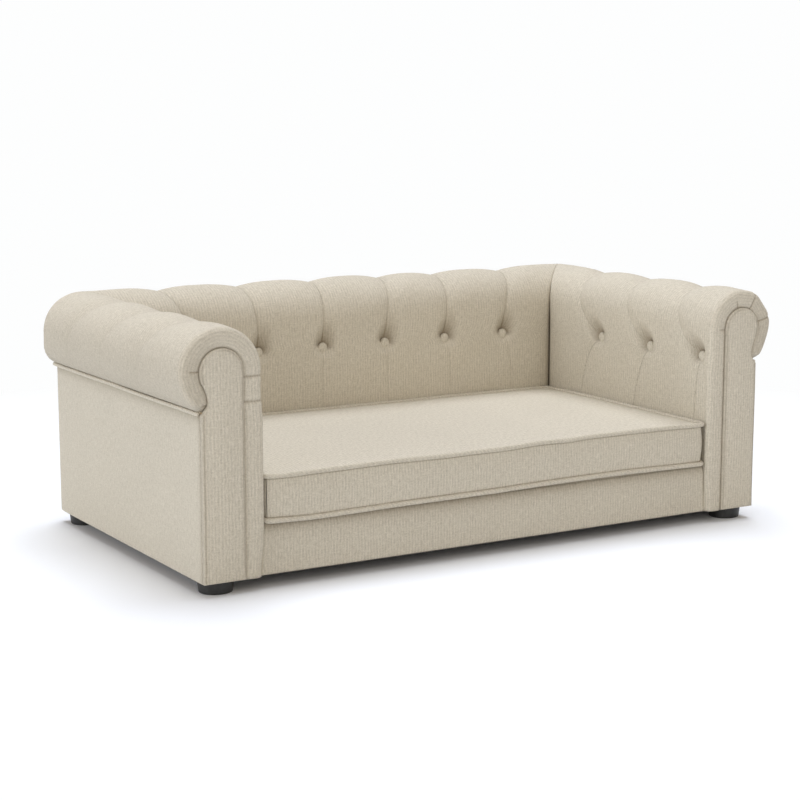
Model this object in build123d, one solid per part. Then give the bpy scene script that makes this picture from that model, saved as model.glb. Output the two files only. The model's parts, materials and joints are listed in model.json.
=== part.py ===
from build123d import *
import math
import os

# Pet sofa bed with rolled arms: a low three-sided sofa on four round feet.
# The arms and the back have the same padded roll, whose fabric is pulled in at
# buttons, and a loose boxed cushion with piping lies between them.
# The frame is X across the sofa, Y from front to back and Z up, in millimetres,
# with the origin on the floor under the middle of the sofa.

# Overall sizes
overall_width = 1000.0
overall_depth = 548.0
overall_height = 360.0
foot_height = 18.0

# The padded roll on the arms and the back
roll_radius = 60.0
side_overhang = 30.0
rear_overhang = 16.0
seam_drop = 52.0
pad_thickness = 28.0
cover_thickness = 2.0
pleat_depth = 5.0

# The arm's facing and the front edge of its padding
facing_thickness = 8.0
facing_neck_depth = 9.5
facing_neck_drop = 38.0
facing_foot_drop = 56.0
facing_head_angle = 35.0
facing_edge_round = 2.5
edge_setback = 4.0
edge_depth = 14.0
edge_rounding = 14.0

# Boards of the wooden frame
board_thickness = 9.0
front_board_thickness = 12.0
rail_thickness = 15.0
arm_rail_height = 18.0
post_thickness = 18.0
centre_rail_thickness = 20.0
centre_rail_height = 40.0
rail_cover_thickness = 8.0
deck_height = 90.0
deck_thickness = 9.0
tube_wall = 5.0

# Buttons, their dimples and the ties behind them
button_radius = 8.0
button_rim = 2.0
button_dome = 3.0
arm_button_drop = 42.0
back_button_drop = 46.0
button_clearance = 0.1
dimple_radius = 40.0
dimple_depth = 9.0
tie_radius = 1.0
tie_clip_radius = 7.0
tie_clip_thickness = 2.0
back_button_pitch = 115.0
back_button_count = 6
arm_button_pitch = 128.0
arm_button_count = 3
arm_button_inset = 29.0
arm_pleat_shift = 74.0

# Welt in the crease under the roll
welt_radius = 2.8
welt_clearance = 0.05

# Loose cushion
cushion_gap = 2.0
cushion_clearance = 0.3
cushion_side_height = 66.0
cushion_crown = 4.0
cushion_front_setback = 5.0
cushion_corner = 12.0
cushion_draw = 1.5
cushion_cloth = 1.5
piping_radius = 3.0
piping_proud = 1.0

# Zip along the cushion's rear band
zip_length = 520.0
zip_pocket_height = 24.0
zip_pocket_depth = 7.0
zip_tape_thickness = 0.8
zip_tape_height = 22.0
zip_coil_height = 5.0
zip_coil_thickness = 1.4
zip_end_clearance = 1.5
zip_slider_length = 11.0
zip_slider_height = 9.0
zip_slider_thickness = 2.6
zip_slider_clearance = 0.2
zip_pull_length = 18.0
zip_pull_height = 6.0
zip_pull_thickness = 1.0
zip_pull_hole_radius = 1.6

# Feet and their fasteners
foot_top_radius = 25.0
foot_sole_radius = 23.0
foot_round = 2.0
foot_inset_x = 30.0
foot_inset_y = 32.0
stud_radius = 4.0
stud_length = 26.0
stud_depth_in_foot = 12.0
insert_radius = 6.0
insert_length = 14.0

# Screws of the frame, and the staples of the lining
frame_screw_radius = 2.5
frame_screw_length = 22.0
frame_screw_head_radius = 5.0
frame_screw_head_height = 2.5
frame_screw_height_above_floor = 56.0
side_screw_inset = 90.0
rear_screw_pitch = 200.0
deck_screw_radius = 2.0
deck_screw_length = 30.0
deck_screw_head_radius = 4.0
deck_screw_head_height = 2.5
deck_screw_pitch = 260.0
staple_length = 10.0
staple_wire = 1.0
staple_pitch = 110.0
staple_inset = 5.0
lining_thickness = 1.0
lining_inset = 12.0

# One overrun serves every cut
overrun = 40.0

# Places that follow from the sizes above
side_x = overall_width / 2 - side_overhang
roll_x = overall_width / 2 - roll_radius
roll_y = overall_depth / 2 - roll_radius
roll_z = overall_height - roll_radius
seam_height = roll_z - seam_drop
arm_button_z = roll_z - arm_button_drop
back_button_z = roll_z - back_button_drop
front_y = -overall_depth / 2
rear_y = overall_depth / 2 - rear_overhang
head_radius = roll_radius - pad_thickness
frame_in_x = roll_x - head_radius
frame_out_x = side_x - cover_thickness
frame_in_y = roll_y - head_radius
frame_out_y = rear_y - cover_thickness
board_in_x = frame_in_x + board_thickness
board_in_y = frame_in_y + board_thickness
neck_x = frame_out_x - board_thickness
neck_y = frame_out_y - board_thickness
face_x = roll_x - roll_radius
face_y = roll_y - roll_radius
side_offset = roll_radius - side_overhang
rear_offset = roll_radius - rear_overhang
facing_back_y = front_y + facing_thickness
arm_inner_y = facing_back_y + front_board_thickness
arm_rear_y = frame_out_y - rail_thickness
edge_y = front_y + edge_setback
rail_y = edge_y + edge_depth
rail_back_y = rail_y + rail_thickness
rear_rail_y = frame_in_y - rail_thickness
side_rail_x = frame_in_x - rail_thickness
board_top_z = roll_z - math.sqrt(head_radius**2 - (head_radius - board_thickness) ** 2)
post_top_z = roll_z - head_radius
deck_z = deck_height - deck_thickness
deck_cover_z = deck_height + cover_thickness
foot_x = side_x - foot_inset_x
foot_ys = (front_y + foot_inset_y, rear_y - foot_inset_y)
arm_button_ys = [
    front_y + arm_button_inset + i * arm_button_pitch for i in range(arm_button_count)
]
arm_pleat_ys = [y + arm_pleat_shift for y in arm_button_ys]
back_button_xs = [
    (i - (back_button_count - 1) / 2) * back_button_pitch for i in range(back_button_count)
]


def block(x0, x1, y0, y1, z0, z1):
    """A box between two corners."""
    return Pos(x0, y0, z0) * Box(x1 - x0, y1 - y0, z1 - z0, align=(Align.MIN,) * 3)


def rod(radius, length, place, along):
    """A round rod of that length from a place, along a direction."""
    return extrude(Plane(origin=place, z_dir=along) * Circle(radius), length)


def in_mirror(shape):
    """The shape's mirror image across the sofa's middle."""
    return mirror(shape, about=Plane.YZ)


def without(shape, tools):
    """The shape with every tool taken out of it."""
    for tool in tools:
        shape = shape - tool
    return shape


def prism(points, z0, z1):
    """An upright prism on a plan outline."""
    face = make_face(Polyline(*[(x, y, z0) for x, y in points], close=True))
    return extrude(face, z1 - z0, dir=(0, 0, 1))


# The padding: sections of the roll and of the seat-side face below it


def across_arm(y):
    """Places on the right arm's section at y: u runs out from the roll's middle."""
    return lambda u, z: (roll_x + u, y, z)


def across_back(x):
    """Places on the back's section at x: u runs to the rear from the roll's middle."""
    return lambda u, z: (x, roll_y + u, z)


def under_middle(radius, side):
    """Where, out from the roll's middle, the arc of the roll's underside has its own.

    The arc leaves the roll upright at its outermost point and meets the seam at side.
    """
    return (radius**2 - side**2 - seam_drop**2) / (2 * (radius - side))


def pad_section(place, radius, foot_radius, side, foot_z):
    """One section of the padding, closed through the frame's space.

    radius is the roll's radius at this section, foot_radius how far the seat-side
    face's foot stands from the roll's middle, and side how far the seam under the
    roll does.
    """
    middle = under_middle(radius, side)
    half_drop = seam_drop / 2
    bulge = middle + math.sqrt((radius - middle) ** 2 - half_drop**2)
    diagonal = radius * math.sqrt(0.5)
    outline = [
        ThreePointArc(
            place(side, seam_height), place(bulge, roll_z - half_drop), place(radius, roll_z)
        ),
        ThreePointArc(
            place(radius, roll_z),
            place(diagonal, roll_z + diagonal),
            place(0, roll_z + radius),
        ),
        ThreePointArc(
            place(0, roll_z + radius),
            place(-diagonal, roll_z + diagonal),
            place(-radius, roll_z),
        ),
        Line(place(-radius, roll_z), place(-foot_radius, foot_z)),
        Line(place(-foot_radius, foot_z), place(0, foot_z)),
        Line(place(0, foot_z), place(0, seam_height)),
        Line(place(0, seam_height), place(side, seam_height)),
    ]
    return Face(Wire(outline))


# How far the fabric is drawn in, as a share of the pleat's depth, at shares of the
# way from one pleat to the next; and at the arm's front edge, as shares of its
# rounding at shares of its depth
lobe_shares = ((0.0, 1.0), (0.16, 0.42), (0.32, 0.1), (0.5, 0.0), (0.68, 0.1), (0.84, 0.42))
edge_shares = ((0.0, 1.0), (0.18, 0.5), (0.45, 0.18), (1.0, 0.0))
skip_share = 0.3


def pleated(pleats, start, end):
    """(place, depth) pairs from start to end, drawn in at every pleat."""
    pitch = pleats[1] - pleats[0]
    first = max(pleats[0] - pitch / 2, start + pitch * skip_share)
    last = min(pleats[-1] + pitch / 2, end - pitch * skip_share)
    found = [
        (pleat + pitch * along, depth * pleat_depth)
        for pleat in (pleats[0] - pitch, *pleats)
        for along, depth in lobe_shares
    ]
    return [(start, 0.0), *[pair for pair in found if first <= pair[0] <= last], (end, 0.0)]


def corner_shape(inset):
    """The padding round the rear right corner, behind and beside the rolls' meeting point.

    Above the rolls' middle it is an eighth of a ball, and below it the two rolls'
    undersides and an upright drum bound it.
    """
    radius = roll_radius - inset
    diagonal = radius * math.sqrt(0.5)
    pole = (roll_x, roll_y, roll_z + radius)
    quarter = Face(
        Wire(
            [
                Line((roll_x, roll_y, roll_z), (roll_x + radius, roll_y, roll_z)),
                ThreePointArc(
                    (roll_x + radius, roll_y, roll_z),
                    (roll_x + diagonal, roll_y, roll_z + diagonal),
                    pole,
                ),
                Line(pole, (roll_x, roll_y, roll_z)),
            ]
        )
    )
    middle = Axis((roll_x, roll_y, roll_z), (0, 0, 1))
    ball = revolve(quarter, axis=middle, revolution_arc=90)
    from_arm = pad_section(across_arm(roll_y), radius, radius, side_offset - inset, deck_height)
    from_back = pad_section(across_back(roll_x), radius, radius, rear_offset - inset, deck_height)
    both = extrude(from_arm, reach, dir=(0, 1, 0)) & extrude(from_back, reach, dir=(1, 0, 0))
    drum = rod(radius, roll_z - seam_height, (roll_x, roll_y, seam_height), (0, 0, 1))
    return ball + (both & drum)


# Regions on each side of the mitre where an arm's roll meets the back's roll
reach = roll_radius + overrun
arm_region = prism(
    [
        (face_x, front_y),
        (roll_x + reach, front_y),
        (roll_x + reach, roll_y + reach),
        (face_x, face_y),
    ],
    0,
    overall_height + overrun,
)
back_region = prism(
    [
        (-face_x, face_y),
        (face_x, face_y),
        (roll_x + reach, roll_y + reach),
        (-roll_x - reach, roll_y + reach),
    ],
    0,
    overall_height + overrun,
)


def arm_padding(inset):
    """The right arm's padding as far as that below the outside of its fabric."""
    radius = roll_radius - inset
    side = side_offset - inset
    edge = []
    for along, drawn in edge_shares:
        y = edge_y + inset + along * (edge_depth - inset)
        r = radius - drawn * edge_rounding
        edge.append(pad_section(across_arm(y), r, r, side, foot_height + inset))
    run = [
        pad_section(across_arm(y), radius - depth, radius, side, deck_height)
        for y, depth in pleated(arm_pleat_ys, rail_y, roll_y)
    ]
    along_arm = loft(edge, ruled=True) + (loft(run, ruled=True) & arm_region)
    padding = along_arm + (corner_shape(inset) & arm_region)
    return without(padding, [dimple(place, toward, inset) for place, toward in arm_seats])


def back_padding(inset):
    """The back's padding as far as that below the outside of its fabric."""
    radius = roll_radius - inset
    side = rear_offset - inset
    run = [
        pad_section(across_back(x), radius - depth, radius, side, deck_height)
        for x, depth in pleated(back_button_xs, -roll_x, roll_x)
    ]
    turn = corner_shape(inset) & back_region
    padding = (loft(run, ruled=True) & back_region) + turn + in_mirror(turn)
    return without(padding, [dimple(place, toward, inset) for place, toward in back_seats])


# Buttons: each is pulled into a dimple by a tie that a clip holds behind a board


def dimple(place, toward, inset):
    """The hollow that a button pulls into the padding; toward points to the seat."""
    middle = Vector(*place) + Vector(*toward) * (dimple_radius - dimple_depth)
    return Pos(*middle) * Sphere(dimple_radius + inset)


button_sag = dimple_radius - math.sqrt(dimple_radius**2 - button_radius**2)
button_sink = dimple_depth - button_sag - button_clearance


def button(place, toward):
    """A covered button: a short rim under a dome, its back on the dimple."""
    back = Vector(*place) - Vector(*toward) * button_sink
    plane = Plane(origin=back, z_dir=toward)
    ball_radius = (button_radius**2 + button_dome**2) / (2 * button_dome)
    ball = plane * Pos(0, 0, button_rim + button_dome - ball_radius) * Sphere(ball_radius)
    cap = extrude(plane * Pos(0, 0, button_rim) * Circle(button_radius), button_dome)
    return extrude(plane * Circle(button_radius), button_rim) + (ball & cap)


def tie(place, toward, length):
    """The twine from a button's back to its clip, that far behind the pad's face."""
    inward = Vector(*toward) * -1
    start = Vector(*place) + inward * button_sink
    end = Vector(*place) + inward * length
    twine = rod(tie_radius, length - button_sink, start, inward)
    return twine + rod(tie_clip_radius, tie_clip_thickness, end, inward)


tie_length = pad_thickness + board_thickness
arm_seats = [((face_x, y, arm_button_z), (-1, 0, 0)) for y in arm_button_ys]
back_seats = [((x, face_y, back_button_z), (0, -1, 0)) for x in back_button_xs]
arm_ties = [tie(place, toward, tie_length) for place, toward in arm_seats]
back_ties = [tie(place, toward, tie_length) for place, toward in back_seats]


# Screws


def screw(radius, length, head_radius, head_height, place, along, sunk):
    """A screw from a surface: its head stands on it, or is sunk flush as a cone."""
    direction = Vector(*along)
    shank = rod(radius, length, Vector(*place), direction)
    if not sunk:
        base = Vector(*place) - direction * head_height
        return shank + rod(head_radius, head_height, base, direction)
    plane = Plane(origin=place, z_dir=direction)
    wide = plane * Circle(head_radius)
    narrow = plane * Pos(0, 0, head_height) * Circle(radius)
    return shank + loft([wide.face(), narrow.face()], ruled=True)


def frame_screw(place, along):
    """A screw that joins a base rail to a board of an arm or the back."""
    return screw(
        frame_screw_radius,
        frame_screw_length,
        frame_screw_head_radius,
        frame_screw_head_height,
        place,
        along,
        False,
    )


side_screws = [
    frame_screw((side_rail_x, y, frame_screw_height_above_floor), (1, 0, 0))
    for y in (rail_y + side_screw_inset, frame_in_y - side_screw_inset)
]
rear_screws = [
    frame_screw((i * rear_screw_pitch / 2, rear_rail_y, frame_screw_height_above_floor), (0, 1, 0))
    for i in (-3, -1, 1, 3)
]
deck_screws = [
    screw(
        deck_screw_radius,
        deck_screw_length,
        deck_screw_head_radius,
        deck_screw_head_height,
        (i * deck_screw_pitch, y, deck_height),
        (0, 0, -1),
        True,
    )
    for i in (-1, 0, 1)
    for y in (rail_y + rail_thickness / 2, frame_in_y - rail_thickness / 2)
]

# Feet, their studs and the threaded inserts above them
foot_places = {
    f"{end}_{side}": (sign * foot_x, y)
    for end, y in zip(("front", "rear"), foot_ys)
    for side, sign in (("left", -1), ("right", 1))
}
stud_z = foot_height - stud_depth_in_foot


def foot(x, y):
    """A round foot, narrower at the sole, with a blind hole for its stud."""
    body = Pos(x, y, 0) * Cone(
        foot_sole_radius, foot_top_radius, foot_height, align=(Align.CENTER, Align.CENTER, Align.MIN)
    )
    sole_edge = body.edges().filter_by(GeomType.CIRCLE).sort_by(Axis.Z)[0]
    return fillet(sole_edge, foot_round) - rod(stud_radius, overrun, (x, y, stud_z), (0, 0, 1))


studs = [rod(stud_radius, stud_length, (x, y, stud_z), (0, 0, 1)) for x, y in foot_places.values()]
inserts = [
    rod(insert_radius, insert_length, (x, y, foot_height), (0, 0, 1)) - stud
    for (x, y), stud in zip(foot_places.values(), studs)
]

# The right arm's frame
front_length = front_board_thickness
arm_length = frame_out_y - arm_inner_y


def arm_slab(y, length):
    """The straight part of the arm's frame: full width up to the seam, then narrower."""
    wide = block(frame_in_x, frame_out_x, y, y + length, foot_height, seam_height)
    return wide + block(frame_in_x, neck_x, y, y + length, seam_height, roll_z)


def arm_head(y, length):
    """The round head of the arm's frame."""
    return rod(head_radius, length, (roll_x, y, roll_z), (0, 1, 0))


arm_front_board = arm_slab(facing_back_y, front_length) + arm_head(facing_back_y, front_length)
arm_roll_tube = arm_head(arm_inner_y, arm_length) - rod(
    head_radius - tube_wall, arm_length, (roll_x, arm_inner_y, roll_z), (0, 1, 0)
)
arm_inner_board = without(
    block(frame_in_x, board_in_x, arm_inner_y, frame_out_y, foot_height, board_top_z),
    [*arm_ties, *side_screws],
)
arm_outer_board = block(neck_x, frame_out_x, arm_inner_y, frame_out_y, foot_height, seam_height)
arm_rear_board = block(board_in_x, neck_x, arm_rear_y, frame_out_y, foot_height, post_top_z)
arm_bottom_rail = without(
    block(
        board_in_x,
        neck_x,
        arm_inner_y,
        arm_rear_y,
        foot_height,
        foot_height + arm_rail_height,
    ),
    [*inserts, *studs],
)

# The right arm's upholstery
frame_length = frame_out_y - facing_back_y
arm_frame_space = arm_slab(facing_back_y, frame_length) + arm_head(facing_back_y, frame_length)


def facing_outline():
    """The front panel of the arm: straight inside, a round head and a neck outside."""
    y = front_y
    angle = math.radians(facing_head_angle)
    shoulder = (
        roll_x + head_radius * math.cos(angle),
        y,
        roll_z - head_radius * math.sin(angle),
    )
    neck = (side_x - facing_neck_depth, y, roll_z - facing_neck_drop)
    hip = (side_x, y, roll_z - facing_foot_drop)
    diagonal = head_radius * math.sqrt(0.5)
    outline = [
        Line((frame_in_x, y, foot_height), (frame_in_x, y, roll_z)),
        ThreePointArc(
            (frame_in_x, y, roll_z),
            (roll_x - diagonal, y, roll_z + diagonal),
            (roll_x, y, roll_z + head_radius),
        ),
        ThreePointArc(
            (roll_x, y, roll_z + head_radius),
            (roll_x + diagonal, y, roll_z + diagonal),
            shoulder,
        ),
        ThreePointArc(shoulder, neck, hip),
        Line(hip, (side_x, y, foot_height)),
        Line((side_x, y, foot_height), (frame_in_x, y, foot_height)),
    ]
    return Face(Wire(outline))


facing_slab = extrude(facing_outline(), facing_thickness, dir=(0, 1, 0))
facing_front = facing_slab.faces().sort_by(Axis.Y)[0]
arm_facing = fillet(facing_front.edges(), facing_edge_round)
arm_holes = [arm_frame_space, facing_slab, *arm_ties]
arm_inside = arm_padding(cover_thickness)
arm_foam = without(arm_inside, arm_holes)
arm_cover = without(arm_padding(0) - arm_inside, arm_holes)
arm_side_cover = block(frame_out_x, side_x, facing_back_y, rear_y, foot_height, seam_height)

parts = {}
arm_pieces = {
    "front_board": arm_front_board,
    "inner_board": arm_inner_board,
    "outer_board": arm_outer_board,
    "rear_board": arm_rear_board,
    "bottom_rail": arm_bottom_rail,
    "roll_tube": arm_roll_tube,
    "foam": arm_foam,
    "cover": arm_cover,
    "facing": arm_facing,
    "side_cover": arm_side_cover,
    "buttons": Compound([button(place, toward) for place, toward in arm_seats]),
    "button_ties": Compound(arm_ties),
}
for piece, shape in arm_pieces.items():
    parts[f"right_arm_{piece}"] = shape
    parts[f"left_arm_{piece}"] = in_mirror(shape)

# The back's frame and upholstery
back_length = frame_in_x * 2


def back_head(radius):
    """The round head of the back's frame, between the arms."""
    return rod(radius, back_length, (-frame_in_x, roll_y, roll_z), (1, 0, 0))


back_frame_space = (
    block(-frame_in_x, frame_in_x, frame_in_y, frame_out_y, foot_height, seam_height)
    + block(-frame_in_x, frame_in_x, frame_in_y, neck_y, seam_height, roll_z)
    + back_head(head_radius)
)
back_inside = back_padding(cover_thickness)
back_holes = [back_frame_space, arm_frame_space, in_mirror(arm_frame_space), *back_ties]
parts["back_roll_tube"] = back_head(head_radius) - back_head(head_radius - tube_wall)
parts["back_inner_board"] = without(
    block(-frame_in_x, frame_in_x, frame_in_y, board_in_y, foot_height, board_top_z),
    [*back_ties, *rear_screws],
)
parts["back_outer_board"] = block(
    -frame_in_x, frame_in_x, neck_y, frame_out_y, foot_height, seam_height
)
parts["back_posts"] = Compound(
    [
        block(x, x + post_thickness, board_in_y, neck_y, foot_height, post_top_z)
        for x in (-frame_in_x, -post_thickness / 2, frame_in_x - post_thickness)
    ]
)
parts["back_foam"] = without(back_inside, back_holes)
parts["back_cover"] = without(back_padding(0) - back_inside, back_holes)
parts["back_rear_cover"] = block(
    -frame_out_x, frame_out_x, frame_out_y, rear_y, foot_height, seam_height
)
parts["back_buttons"] = Compound([button(place, toward) for place, toward in back_seats])
parts["back_button_ties"] = Compound(back_ties)

# Welt in the crease under the roll, round the sides and the rear
welt_offset = welt_radius + welt_clearance


def welt_level(side):
    """The height at which the welt lies against both the panel and the roll's underside."""
    middle = under_middle(roll_radius, side)
    reach_out = roll_radius - middle + welt_offset
    return roll_z - math.sqrt(reach_out**2 - (side + welt_offset - middle) ** 2)


welt_z = min(welt_level(side_offset), welt_level(rear_offset))
welt_path = Polyline(
    (-side_x - welt_offset, facing_back_y, welt_z),
    (-side_x - welt_offset, rear_y + welt_offset, welt_z),
    (side_x + welt_offset, rear_y + welt_offset, welt_z),
    (side_x + welt_offset, facing_back_y, welt_z),
)
welt_start = Plane(origin=(-side_x - welt_offset, facing_back_y, welt_z), z_dir=(0, 1, 0))
parts["roll_welt"] = sweep(
    welt_start * Circle(welt_radius), path=welt_path, transition=Transition.RIGHT
)

# The base frame
parts["front_rail"] = without(
    block(-frame_in_x, frame_in_x, rail_y, rail_back_y, foot_height, deck_z), deck_screws
)
parts["rear_rail"] = without(
    block(-frame_in_x, frame_in_x, rear_rail_y, frame_in_y, foot_height, deck_z),
    [*deck_screws, *rear_screws],
)
side_rail = without(
    block(side_rail_x, frame_in_x, rail_back_y, rear_rail_y, foot_height, deck_z), side_screws
)
parts["right_side_rail"] = side_rail
parts["left_side_rail"] = in_mirror(side_rail)
parts["centre_rail"] = block(
    -centre_rail_thickness / 2,
    centre_rail_thickness / 2,
    rail_back_y,
    rear_rail_y,
    deck_z - centre_rail_height,
    deck_z,
)
parts["seat_deck"] = without(
    block(-frame_in_x, frame_in_x, rail_y, frame_in_y, deck_z, deck_height), deck_screws
)
cover_front_y = rail_y - rail_cover_thickness
parts["deck_cover"] = block(-face_x, face_x, cover_front_y, face_y, deck_height, deck_cover_z)
parts["front_rail_cover"] = block(
    -face_x, face_x, cover_front_y, rail_y, foot_height, deck_height
)
parts["deck_screws"] = Compound(deck_screws)
parts["frame_screws"] = Compound(
    [*side_screws, *[in_mirror(piece) for piece in side_screws], *rear_screws]
)

# Lining under the base and the staples that hold it
lining_z = foot_height - lining_thickness
lining_x = side_x - lining_inset
lining_ys = (front_y + lining_inset, rear_y - lining_inset)
clear_x = foot_x - foot_top_radius
clear_ys = (foot_ys[0] + foot_top_radius, foot_ys[1] - foot_top_radius)
parts["underside_lining"] = block(
    -clear_x, clear_x, *lining_ys, lining_z, foot_height
) + block(-lining_x, lining_x, *clear_ys, lining_z, foot_height)


def staple(x, y, width, depth):
    """The crown of a staple below the lining."""
    plan = Pos(x, y, lining_z - staple_wire)
    return plan * Box(width, depth, staple_wire, align=(Align.CENTER, Align.CENTER, Align.MIN))


staple_x = lining_x - staple_inset
staple_ys = (lining_ys[0] + staple_inset, lining_ys[1] - staple_inset)
staples_across = int((foot_x - foot_top_radius * 2) // staple_pitch)
across_staples = [
    staple(i * staple_pitch, y, staple_length, staple_wire)
    for i in range(-staples_across, staples_across + 1)
    for y in staple_ys
]
along_staples = [
    staple(x, sum(staple_ys) / 2 + i * staple_pitch, staple_wire, staple_length)
    for i in (-1, 0, 1)
    for x in (-staple_x, staple_x)
]
parts["lining_staples"] = Compound([*across_staples, *along_staples])

# Feet
for name, (x, y) in foot_places.items():
    parts[f"foot_{name}"] = foot(x, y)
parts["foot_studs"] = Compound(studs)
parts["foot_inserts"] = Compound(inserts)

# Loose cushion
cushion_x = face_x - cushion_gap
cushion_ys = (front_y + cushion_front_setback, face_y - cushion_gap)
cushion_z = deck_cover_z + cushion_clearance
cushion_top_z = cushion_z + cushion_side_height
cushion_depth = cushion_ys[1] - cushion_ys[0]
piping_inset = piping_radius - piping_proud
piping_zs = (cushion_z + piping_radius, cushion_top_z - piping_radius)

# The cushion's levels: its sides' hollow, as shares of its draw at shares of the
# way up, and its crown, as shares of half its depth at shares of the crown's height
waist_shares = ((0.0, 0.0), (0.25, 0.75), (0.5, 1.0), (0.75, 0.75), (1.0, 0.0))
crown_shares = ((0.0, 0.01), (0.3, 0.05), (0.65, 0.2), (0.9, 0.45), (1.0, 0.75))


def cushion_level(z, inset, corner):
    """The cushion's plan at one height, drawn in all round."""
    plan = RectangleRounded(2 * (cushion_x - inset), cushion_depth - 2 * inset, corner)
    return (Pos(0, sum(cushion_ys) / 2, z) * plan).face()


def cushion_shape(inset):
    """The cushion as far as that below the outside of its cloth."""
    levels = [cushion_level(cushion_z + inset, piping_inset + inset, cushion_corner)]
    for rise, drawn in waist_shares:
        z = piping_zs[0] + rise * (piping_zs[1] - piping_zs[0])
        levels.append(cushion_level(z, inset + cushion_draw * drawn, cushion_corner))
    for rise, drawn in crown_shares:
        z = cushion_top_z - inset + rise * cushion_crown
        run_in = piping_inset + inset + drawn * cushion_depth / 2
        levels.append(cushion_level(z, run_in, cushion_corner * (1 - drawn)))
    return loft(levels, ruled=True)


def piping(z, radius):
    """A round of piping along the cushion's edge."""
    path = cushion_level(z, piping_inset, cushion_corner).outer_wire()
    return sweep(Plane(origin=path @ 0, z_dir=path % 0) * Circle(radius), path=path)


zip_z = sum(piping_zs) / 2
pocket_y = cushion_ys[1] - cushion_draw - zip_pocket_depth


def pocket(margin):
    """The zip's pocket in the rear band, with that much added at its walls."""
    half_length = zip_length / 2 + margin
    half_height = zip_pocket_height / 2 + margin
    return block(
        -half_length,
        half_length,
        pocket_y - margin,
        pocket_y + overrun,
        zip_z - half_height,
        zip_z + half_height,
    )


pipings = [piping(z, piping_radius) for z in piping_zs]
behind_pipings = [piping(z, piping_radius + cushion_cloth) for z in piping_zs]
cushion_foam = without(cushion_shape(cushion_cloth), [*behind_pipings, pocket(cushion_cloth)])
parts["cushion_foam"] = cushion_foam
parts["cushion_cover"] = without(cushion_shape(0) - cushion_foam, [*pipings, pocket(0)])
parts["cushion_lower_piping"], parts["cushion_upper_piping"] = pipings

# Zip in the pocket of the cushion's rear band


def zip_strip(x0, x1, y0, y1, height):
    """A block of that height on the zip's middle line."""
    return block(x0, x1, y0, y1, zip_z - height / 2, zip_z + height / 2)


tape_y = pocket_y + zip_tape_thickness
coil_y = tape_y + zip_coil_thickness
pull_reach = zip_pull_length - zip_slider_length / 2
coil_x = zip_length / 2 - pull_reach - zip_end_clearance
slider_x = -coil_x
slider_y = tape_y + zip_slider_clearance
pull_x = slider_x + zip_slider_length / 2
pull_y = slider_y + zip_slider_thickness
hole_x = pull_x + zip_pull_length - zip_pull_height / 2
parts["zip_tape"] = zip_strip(-zip_length / 2, zip_length / 2, pocket_y, tape_y, zip_tape_height)
parts["zip_coil"] = zip_strip(-coil_x, coil_x, tape_y, coil_y, zip_coil_height)
slider_body = zip_strip(
    slider_x, slider_x + zip_slider_length, slider_y, pull_y, zip_slider_height
)
parts["zip_slider"] = slider_body - zip_strip(
    slider_x,
    slider_x + zip_slider_length,
    slider_y,
    coil_y + zip_slider_clearance,
    zip_coil_height + 2 * zip_slider_clearance,
)
pull = zip_strip(
    pull_x, pull_x + zip_pull_length, pull_y, pull_y + zip_pull_thickness, zip_pull_height
)
parts["zip_pull"] = pull - rod(
    zip_pull_hole_radius, zip_pull_thickness, (hole_x, pull_y, zip_z), (0, 1, 0)
)

os.makedirs("parts", exist_ok=True)
for name, shape in parts.items():
    export_step(shape, f"parts/{name}.step")
print(len(parts), "sub-parts written")
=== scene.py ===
import json
import math

import bmesh
import bpy
import numpy as np
from mathutils import Matrix, Vector


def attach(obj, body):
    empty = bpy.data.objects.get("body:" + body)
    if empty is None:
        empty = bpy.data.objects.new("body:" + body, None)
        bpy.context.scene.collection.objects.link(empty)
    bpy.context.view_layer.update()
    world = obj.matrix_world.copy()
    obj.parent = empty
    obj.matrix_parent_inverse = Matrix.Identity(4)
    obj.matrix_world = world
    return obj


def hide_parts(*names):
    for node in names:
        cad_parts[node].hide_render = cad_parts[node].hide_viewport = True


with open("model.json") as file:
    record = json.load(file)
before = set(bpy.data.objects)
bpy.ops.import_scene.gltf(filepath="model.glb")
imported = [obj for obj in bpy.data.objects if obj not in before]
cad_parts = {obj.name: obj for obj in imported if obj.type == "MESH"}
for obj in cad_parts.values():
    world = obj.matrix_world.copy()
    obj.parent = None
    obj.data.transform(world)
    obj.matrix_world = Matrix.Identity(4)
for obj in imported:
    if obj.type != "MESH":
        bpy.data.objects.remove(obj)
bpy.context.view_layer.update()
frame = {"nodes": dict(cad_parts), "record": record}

bl_info = {
    "name": "Pet Sofa Dressing",
    "version": (1, 0, 0),
    "blender": (4, 5, 0),
    "location": "3D View > Sidebar > Pet Sofa",
    "description": "Fabric, padding, cushion, trim and stage for the rolled-arm pet sofa",
    "category": "Object",
}

MM = 0.001

# Places of the frame in millimetres, as the solids give them: the middles of the rolls, and
# the radius of the frame's rolls and the facings' heads
ROLL = dict(x=440.0, y=214.0, z=300.0)
HEAD_RADIUS = 32.0
# The facings' front, the rim of the arms' padding beside them, and the rear edge of its end
FRONT_Y = -274.0
RIM_Y = -270.0
BAND_BACK_Y = -256.0
# The seam under the rolls, the lowest of the closer rows, the deck, and the covers' lower edge
SEAM_Z = 248.0
TUFT_Z = 214.0
DECK_Z = 90.0
FOOT_Z = 18.0
# From a roll's middle to the padding's face, and to the seam under the arms and the back
FACE = 60.0
ARM_SIDE = 30.0
REAR_SIDE = 44.0
# The rounded front end of the arms' padding: how far it reaches outwards and forwards
END_WIDTH = FACE - HEAD_RADIUS
END_DEPTH = 16.2
# Where the straight runs of the arms and the back end and their corners start
ARM_STRAIGHT_Y = 140.0
BACK_STRAIGHT_X = 362.0
# What each pad keeps free before the mitre, the distance within which points are one, and a
# distance that stands for no seam near
MITRE_GAP = 0.2
WELD = 0.02
FAR = 999.0
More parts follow.
